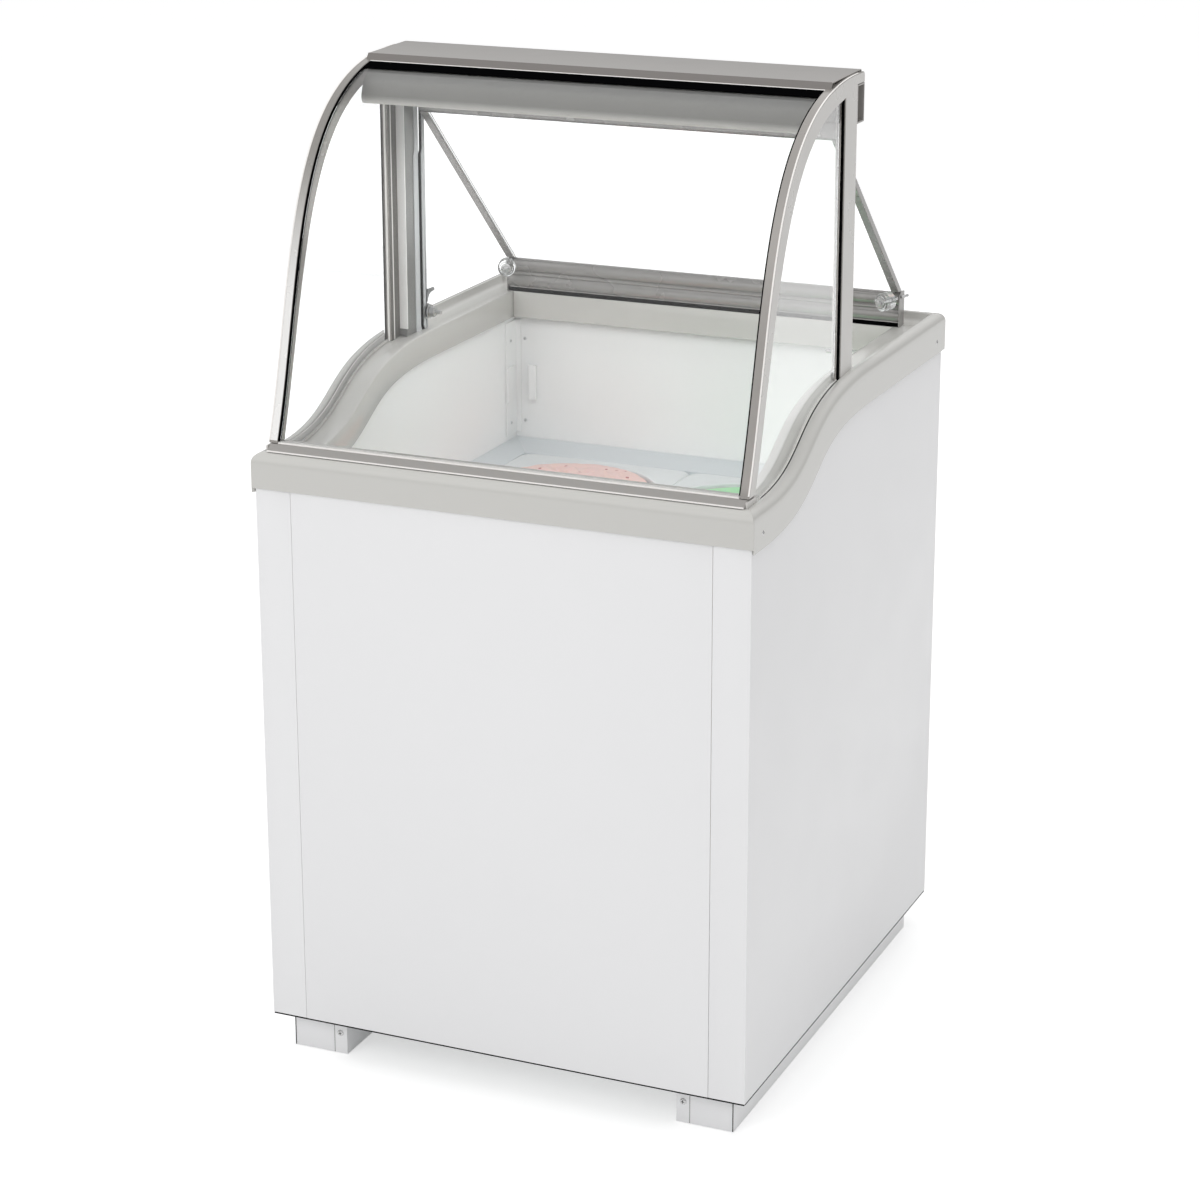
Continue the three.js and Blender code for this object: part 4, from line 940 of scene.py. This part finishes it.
RAIL = rounded_rect(31.0, 46.4, 1203.0, 1226.6, 3.0, 5)
SEAL = [(302.0, 902.0), (320.5, 902.0), (320.5, 907.9), (302.0, 907.9)]
CAP = np.vstack([
    [(321.9, 902.2), (300.6, 902.2), (300.6, 930.0)], arc(312, 940, 11.4, 200, 80, 12),
    [(321.9, 950.0)],
])
make_pair("lid_bar", prism(lid_section(9.0, 1202.8), "x", 283.5, 294.5), edge=1.0, **LID)
make("lid_top_rail", across(RAIL, 294.5), nodes=["lid_frame"], smooth=40, **LID)
make("lid_clear_pane", across(lid_section(4.0, 1202.6), 283.2), GLASS, "clear_glass",
     ["lid_pane"], "lid")
for index, middle in enumerate((-180, 180)):
    start, end = middle - 24, middle + 24
    barrel = [(0, start), (3.6, start), (3.6, end), (0, end)]
    make(f"lid_knuckle_{index}", turned(barrel, "x", (0, 52, 1224), 24), **LID)
    make(f"lid_leaf_{index}", brick(start, end, 45, 52, 1221, 1223.8), **LID)
make("lid_handle", across(handle_outline(), HANDLE_HALF), nodes=["lid_handle_rail"], smooth=50,
     **LID)
make("lid_seal", across(SEAL, HANDLE_HALF), GASKET_AND_SHADE, "gasket", body="lid", edge=1.2)
make_pair("lid_handle_cap", prism(CAP, "x", HANDLE_HALF, 295.0), edge=0.4, **LID)


def bumper_part(profile, steps, middle=(283.0, 275.0, 943.0)):
    """Profile along the bumper's screw, which runs back and outwards at 20 degrees to Y."""
    points, faces = turned(profile, "y", (0, 0, 0), steps)
    c, s = math.cos(math.radians(20)), math.sin(math.radians(20))
    return points @ np.array([(c, -s, 0.0), (s, c, 0.0), (0.0, 0.0, 1.0)]) + middle, faces


ROLLER = [(0, -10.6), (8.6, -10.6), (9.2, -8.8), (11.4, -8.8)]
for rib in range(5):
    start = -7.6 + rib * 3.4
    ROLLER += [(12.3, start), (12.4, start + 1.4), (11.7, start + 2.0), (11.7, start + 2.6)]
ROLLER += [(11.2, 10.2), (10.2, 11), (0, 11)]
SCREW = [(0, -15.6), (2.6, -15.4), (4.2, -14.0), (4.4, -12.4), (7.2, -12.2), (7.2, -10.9),
         (2.3, -10.9), (2.3, 25.6), (0, 25.6)]
STUD = [(0, 27.5), (1.9, 27.5), (1.9, 42.0), (1.2, 43.2), (0, 43.2)]
stud_shape = bumper_part(STUD, 16, (286.6, 278.0, 944.5))
make_pair("clear_bumper", bumper_part(ROLLER, 56), CLEAR, "clear_plastic", ["lid_bumper"],
          body="lid")
make_pair("bumper_screw", bumper_part(SCREW, 28), STEEL, "zinc", body="lid")
make_pair("bumper_stud", stud_shape, STEEL, "zinc", body="lid")

# ------------------------------------------------------------------ tank fittings
for side, sign in SIDES:
    for level, z in enumerate((708.0, 830.0)):
        for name, centre, axis, facing in (
            (f"strip_screw_{side}_{level}", (sign * 287.3, 294.5, z), "x", -sign),
            (f"wall_screw_{side}_{level}", (sign * 274.5, 315.9, z), "y", -1.0),
        ):
            pan_head(name, centre, axis, facing, 2.6, 1.2, PLATE, GUARD)
# each finger clip is a round-cornered tab on a narrower neck, standing off the wall
for name, tab, neck in (
    ("side_clip", (283.8, 287.0, 277.0, 304.0), (286.8, 289.2, 278.6, 302.4)),
    ("rear_clip", (255.0, 267.4, 309.0, 313.4), (256.2, 266.2, 313.2, 315.8)),
):
    shape = prism(rounded_rect(*tab, 1.4, 5), "z", 742.0, 793.0)
    make_pair(name, shape, CLIP, "white_plastic", edge=0.4)
    make_pair(f"{name}_neck", brick(*neck, 743.2, 791.8), CLIP, "white_plastic")

# ------------------------------------------------------------------ tubs, covers and ice cream
TUB_X, TUB_Y = 131.0, 142.0
COVER_TOP, HOLE_RADIUS = 668.0, 124.2
CREAM_RADIUS, CREAM_FOOT = 117.6, 405.0
CORNERS = (  # where each tub stands, how high its ice cream is, and which one
    ("rear_left", -1, 1, 670.5, "ice_pink"), ("rear_right", 1, 1, 664.5, "ice_green"),
    ("front_left", -1, -1, 646.0, "ice_vanilla"), ("front_right", 1, -1, 646.0, "ice_chocolate"),
)


def tub_shape(x, y):
    """Thin round tub with a rolled lip and a small foot."""
    profile = np.vstack([
        [(0, 402.4), (116, 402.4), (119.6, 404.0), (120.4, 408.0), (120.4, 655.4)],
        arc(120.4, 657.8, 1.9, -90, 90, 7),
        [(118.9, 659.4), (118.7, 656.0), (118.7, 406.0), (117.0, 404.4), (0, 404.2)],
    ])
    return turned(profile, "z", (x, y, 0), 96)


def cover_shape(sx, sy):
    """Plate from a round hole out to a rounded square, with a raised bead at both edges."""
    outer = evenly(rounded_rect(0.4, 261.6, 0.4, 285.6, 18.0, 30), 240)
    away = outer - (TUB_X, TUB_Y)
    hole = (TUB_X, TUB_Y) + away / np.linalg.norm(away, axis=1, keepdims=True) * HOLE_RADIUS
    section = [
        (0.0, -6.0), (0.0, -1.2), (0.012, -0.3), (0.03, 0.0), (0.10, 0.0), (0.16, -1.0),
        (0.80, -1.0), (0.90, 0.0), (0.97, 0.0), (1.0, -1.6), (1.0, -6.0),
    ]
    points, faces = loft([
        flat_loop(hole + (outer - hole) * share, "z", COVER_TOP + rise) for share, rise in section
    ], ring=True)
    return points * (sx, sy, 1.0), faces


def cream_shape(x, y, level, seed):
    """Mass with a scooped, ridged top: rings of waves fade out towards the tub's wall."""
    draw = np.random.default_rng(seed)
    radii = np.concatenate([[0.0], np.linspace(3, CREAM_RADIUS, 56)])
    angle = np.linspace(0, 2 * np.pi, 160, endpoint=False)
    r, a = np.meshgrid(radii, angle, indexing="ij")
    px, py = r * np.cos(a), r * np.sin(a)
    waves = np.zeros_like(r)
    for length in (38, 24, 15, 9, 6):
        for _ in range(5):
            turn, phase = draw.uniform(0, 2 * np.pi, 2)
            along = px * np.cos(turn) + py * np.sin(turn)
            waves += length * 0.022 * np.sin(2 * np.pi * along / length + phase)
    calm = np.clip((CREAM_RADIUS - r) / 36, 0, 1)
    fade = np.clip((CREAM_RADIUS - r) / 7, 0, 1)
    top = level + waves * calm + 2 * fade - 6 * (1 - fade) ** 2
    top[0] = top[0].mean()
    rings = np.stack([px, py, top], axis=-1)
    base = np.stack([rings[-1], np.zeros_like(rings[-1])])  # the wall's foot, then its middle
    base[:, :, 2] = CREAM_FOOT
    return loft(np.concatenate([rings, base]) + (x, y, 0.0))


for index, (corner, sx, sy, level, flavour) in enumerate(CORNERS):
    x, y = sx * TUB_X, sy * TUB_Y
    tub = f"tub_{corner}"
    make(f"tub_round_{corner}", tub_shape(x, y), TUB, "tub_plastic", [tub], tub, smooth=45)
    make(f"cover_plate_{corner}", cover_shape(sx, sy), COVER, "white_plastic",
         [f"tub_cover_{corner}"], f"cover_{corner}", smooth=60)
    make(f"scooped_cream_{corner}", cream_shape(x, y, level, 11 + index), CREAMS[corner],
         flavour, [f"ice_cream_{corner}"], tub, smooth=60)

# ------------------------------------------------------------------ back controls
KNOB_X, KNOB_Y, KNOB_Z = -255.0, 338.5, 272.0


def knob_shape():
    """Ribbed dial: a circle whose radius ripples, tapering to a domed face."""
    angle = np.linspace(0, 2 * np.pi, 144, endpoint=False)
    ripple = 1 + 0.022 * np.cos(24 * angle)
    loops = []
    for radius, height in ((0.0, 0.2), (18.0, 0.2), (18.6, 1.0), (18.2, 8.0), (16.8, 9.0),
                           (0.0, 9.3)):
        reach = radius * (ripple if radius > 17 else 1.0)
        flat = np.stack([KNOB_X + reach * np.cos(angle), KNOB_Z + reach * np.sin(angle)], axis=-1)
        loops.append(flat_loop(flat, "y", KNOB_Y + height))
    return loft(loops)


DIAL = {"slot": "black_plastic", "body": "knob", "look": BLACK}
GRIP = brick(KNOB_X - 4, KNOB_X + 4, KNOB_Y + 8.5, KNOB_Y + 19.8, KNOB_Z - 15.6, KNOB_Z + 15.6)
MARK = brick(KNOB_X - 0.6, KNOB_X + 0.6, KNOB_Y + 19.7, KNOB_Y + 20, KNOB_Z + 2, KNOB_Z + 14.5)
make("dial_face", knob_shape(), nodes=["thermostat_knob"], smooth=50, **DIAL)
round_edges(make("dial_grip", GRIP, **DIAL), 1.6, 3)
make("dial_pointer", MARK, LAMP, "white_plastic", body="knob")
REAR_SCREWS = [(x, z) for z in (66, 330, 360, 850) for x in (-318, 318)] + [(0, 330)]
for index, (x, z) in enumerate(REAR_SCREWS):
    pan_head(f"rear_screw_{index}", (x, 364.9, z), "y", 1.0, 4.0, 1.8)

# ------------------------------------------------------------------ floor, lamps and sky
FLOOR_REACH = 30  # metres
FLOOR_GLOW = 0.44  # lifts the floor to white for the camera, and keeps the object's shadow


def floor_finish():
    """Matt pale floor with a glow for camera and see-through rays, and 0.8 of it in reflections."""
    finish, tree, shader = new_material("pale_floor")
    set_inputs(shader, Base_Color=(0.82, 0.82, 0.82, 1), Roughness=0.9, Specular_IOR_Level=0.0)
    ray = tree.nodes.new("ShaderNodeLightPath").outputs
    direct = add_math(tree, "MAXIMUM", ray["Is Camera Ray"], ray["Is Transmission Ray"])
    seen = add_math(tree, "MULTIPLY_ADD", ray["Is Glossy Ray"], 0.8, direct)
    glow = add_node(tree, "Emission", Strength=add_math(tree, "MULTIPLY", seen, FLOOR_GLOW))
    both = tree.nodes.new("ShaderNodeAddShader")
    feed(both.inputs[0], shader.outputs["BSDF"])
    feed(both.inputs[1], glow.outputs["Emission"])
    set_inputs(tree.nodes["Material Output"], Surface=both.outputs["Shader"])
    return finish


def lay_floor():
    """Wide level sheet under the object."""
    r = FLOOR_REACH
    corners = [(-r, -r, 0), (r, -r, 0), (r, r, 0), (-r, r, 0)]
    mesh = bpy.data.meshes.new("floor")
    mesh.from_pydata(corners, [], [(0, 1, 2, 3)])
    mesh.materials.append(floor_finish())
    floor = bpy.data.objects.new("floor", mesh)
    bpy.context.scene.collection.objects.link(floor)


def softbox(name, place_at, aim, size, power):
    """Rectangular lamp turned towards a point, kept out of reflections and clear glass."""
    lamp = bpy.data.lights.new(name, "AREA")
    lamp.shape = "RECTANGLE"
    lamp.size, lamp.size_y = size
    lamp.energy = power
    holder = bpy.data.objects.new(name, lamp)
    holder.location = place_at
    way = Vector(aim) - Vector(place_at)
    holder.rotation_euler = way.to_track_quat("-Z", "Y").to_euler()
    holder.visible_glossy = False
    holder.visible_transmission = False
    bpy.context.scene.collection.objects.link(holder)


def build_sky():
    """Even light on the object; white to the camera, and a graded studio wall in reflections."""
    world = bpy.data.worlds.new("sky")
    bpy.context.scene.world = world
    world.use_nodes = True
    tree = world.node_tree
    where = tree.nodes.new("ShaderNodeTexCoord")
    height = add_node(tree, "SeparateXYZ", Vector=where.outputs["Generated"]).outputs["Z"]
    wall = add_node(tree, "ValToRGB", Fac=height)
    stops = wall.color_ramp.elements
    stops[0].position, stops[0].color = 0.0, (0.42, 0.42, 0.42, 1)
    stops[1].position, stops[1].color = 0.9, (0.7, 0.7, 0.7, 1)
    for position, level in ((0.12, 0.34), (0.3, 0.62), (0.45, 1.0), (0.62, 1.0)):
        stop = stops.new(position)
        stop.color = (level, level, level, 1)
    ray = tree.nodes.new("ShaderNodeLightPath").outputs
    even = add_mix(tree, ray["Is Glossy Ray"], (0.68, 0.68, 0.68, 1), wall.outputs["Color"])
    seen = add_math(tree, "MAXIMUM", ray["Is Camera Ray"], ray["Is Transmission Ray"])
    set_inputs(tree.nodes["Background"], Color=add_mix(tree, seen, even, (1, 1, 1, 1)))


lay_floor()
CABINET_MIDDLE = (0, 0, 0.8)
softbox("key_left", (-1.4, -4.0, 2.9), (0, 0, 0.7), (2.6, 2.6), 44)
softbox("fill_right", (3.6, -1.2, 1.8), (0, 0, 0.7), (2.4, 2.6), 4)
softbox("top_wide", (0.2, 0.3, 4.0), CABINET_MIDDLE, (3.0, 3.0), 27)
softbox("back_fill", (-1.0, 4.0, 2.2), CABINET_MIDDLE, (2.6, 2.2), 16)
softbox("tank_fill", (0, -0.03, 1.17), (0, -0.03, 0.7), (0.46, 0.3), 0.8)
build_sky()

bpy.context.scene.view_settings.view_transform = "Standard"
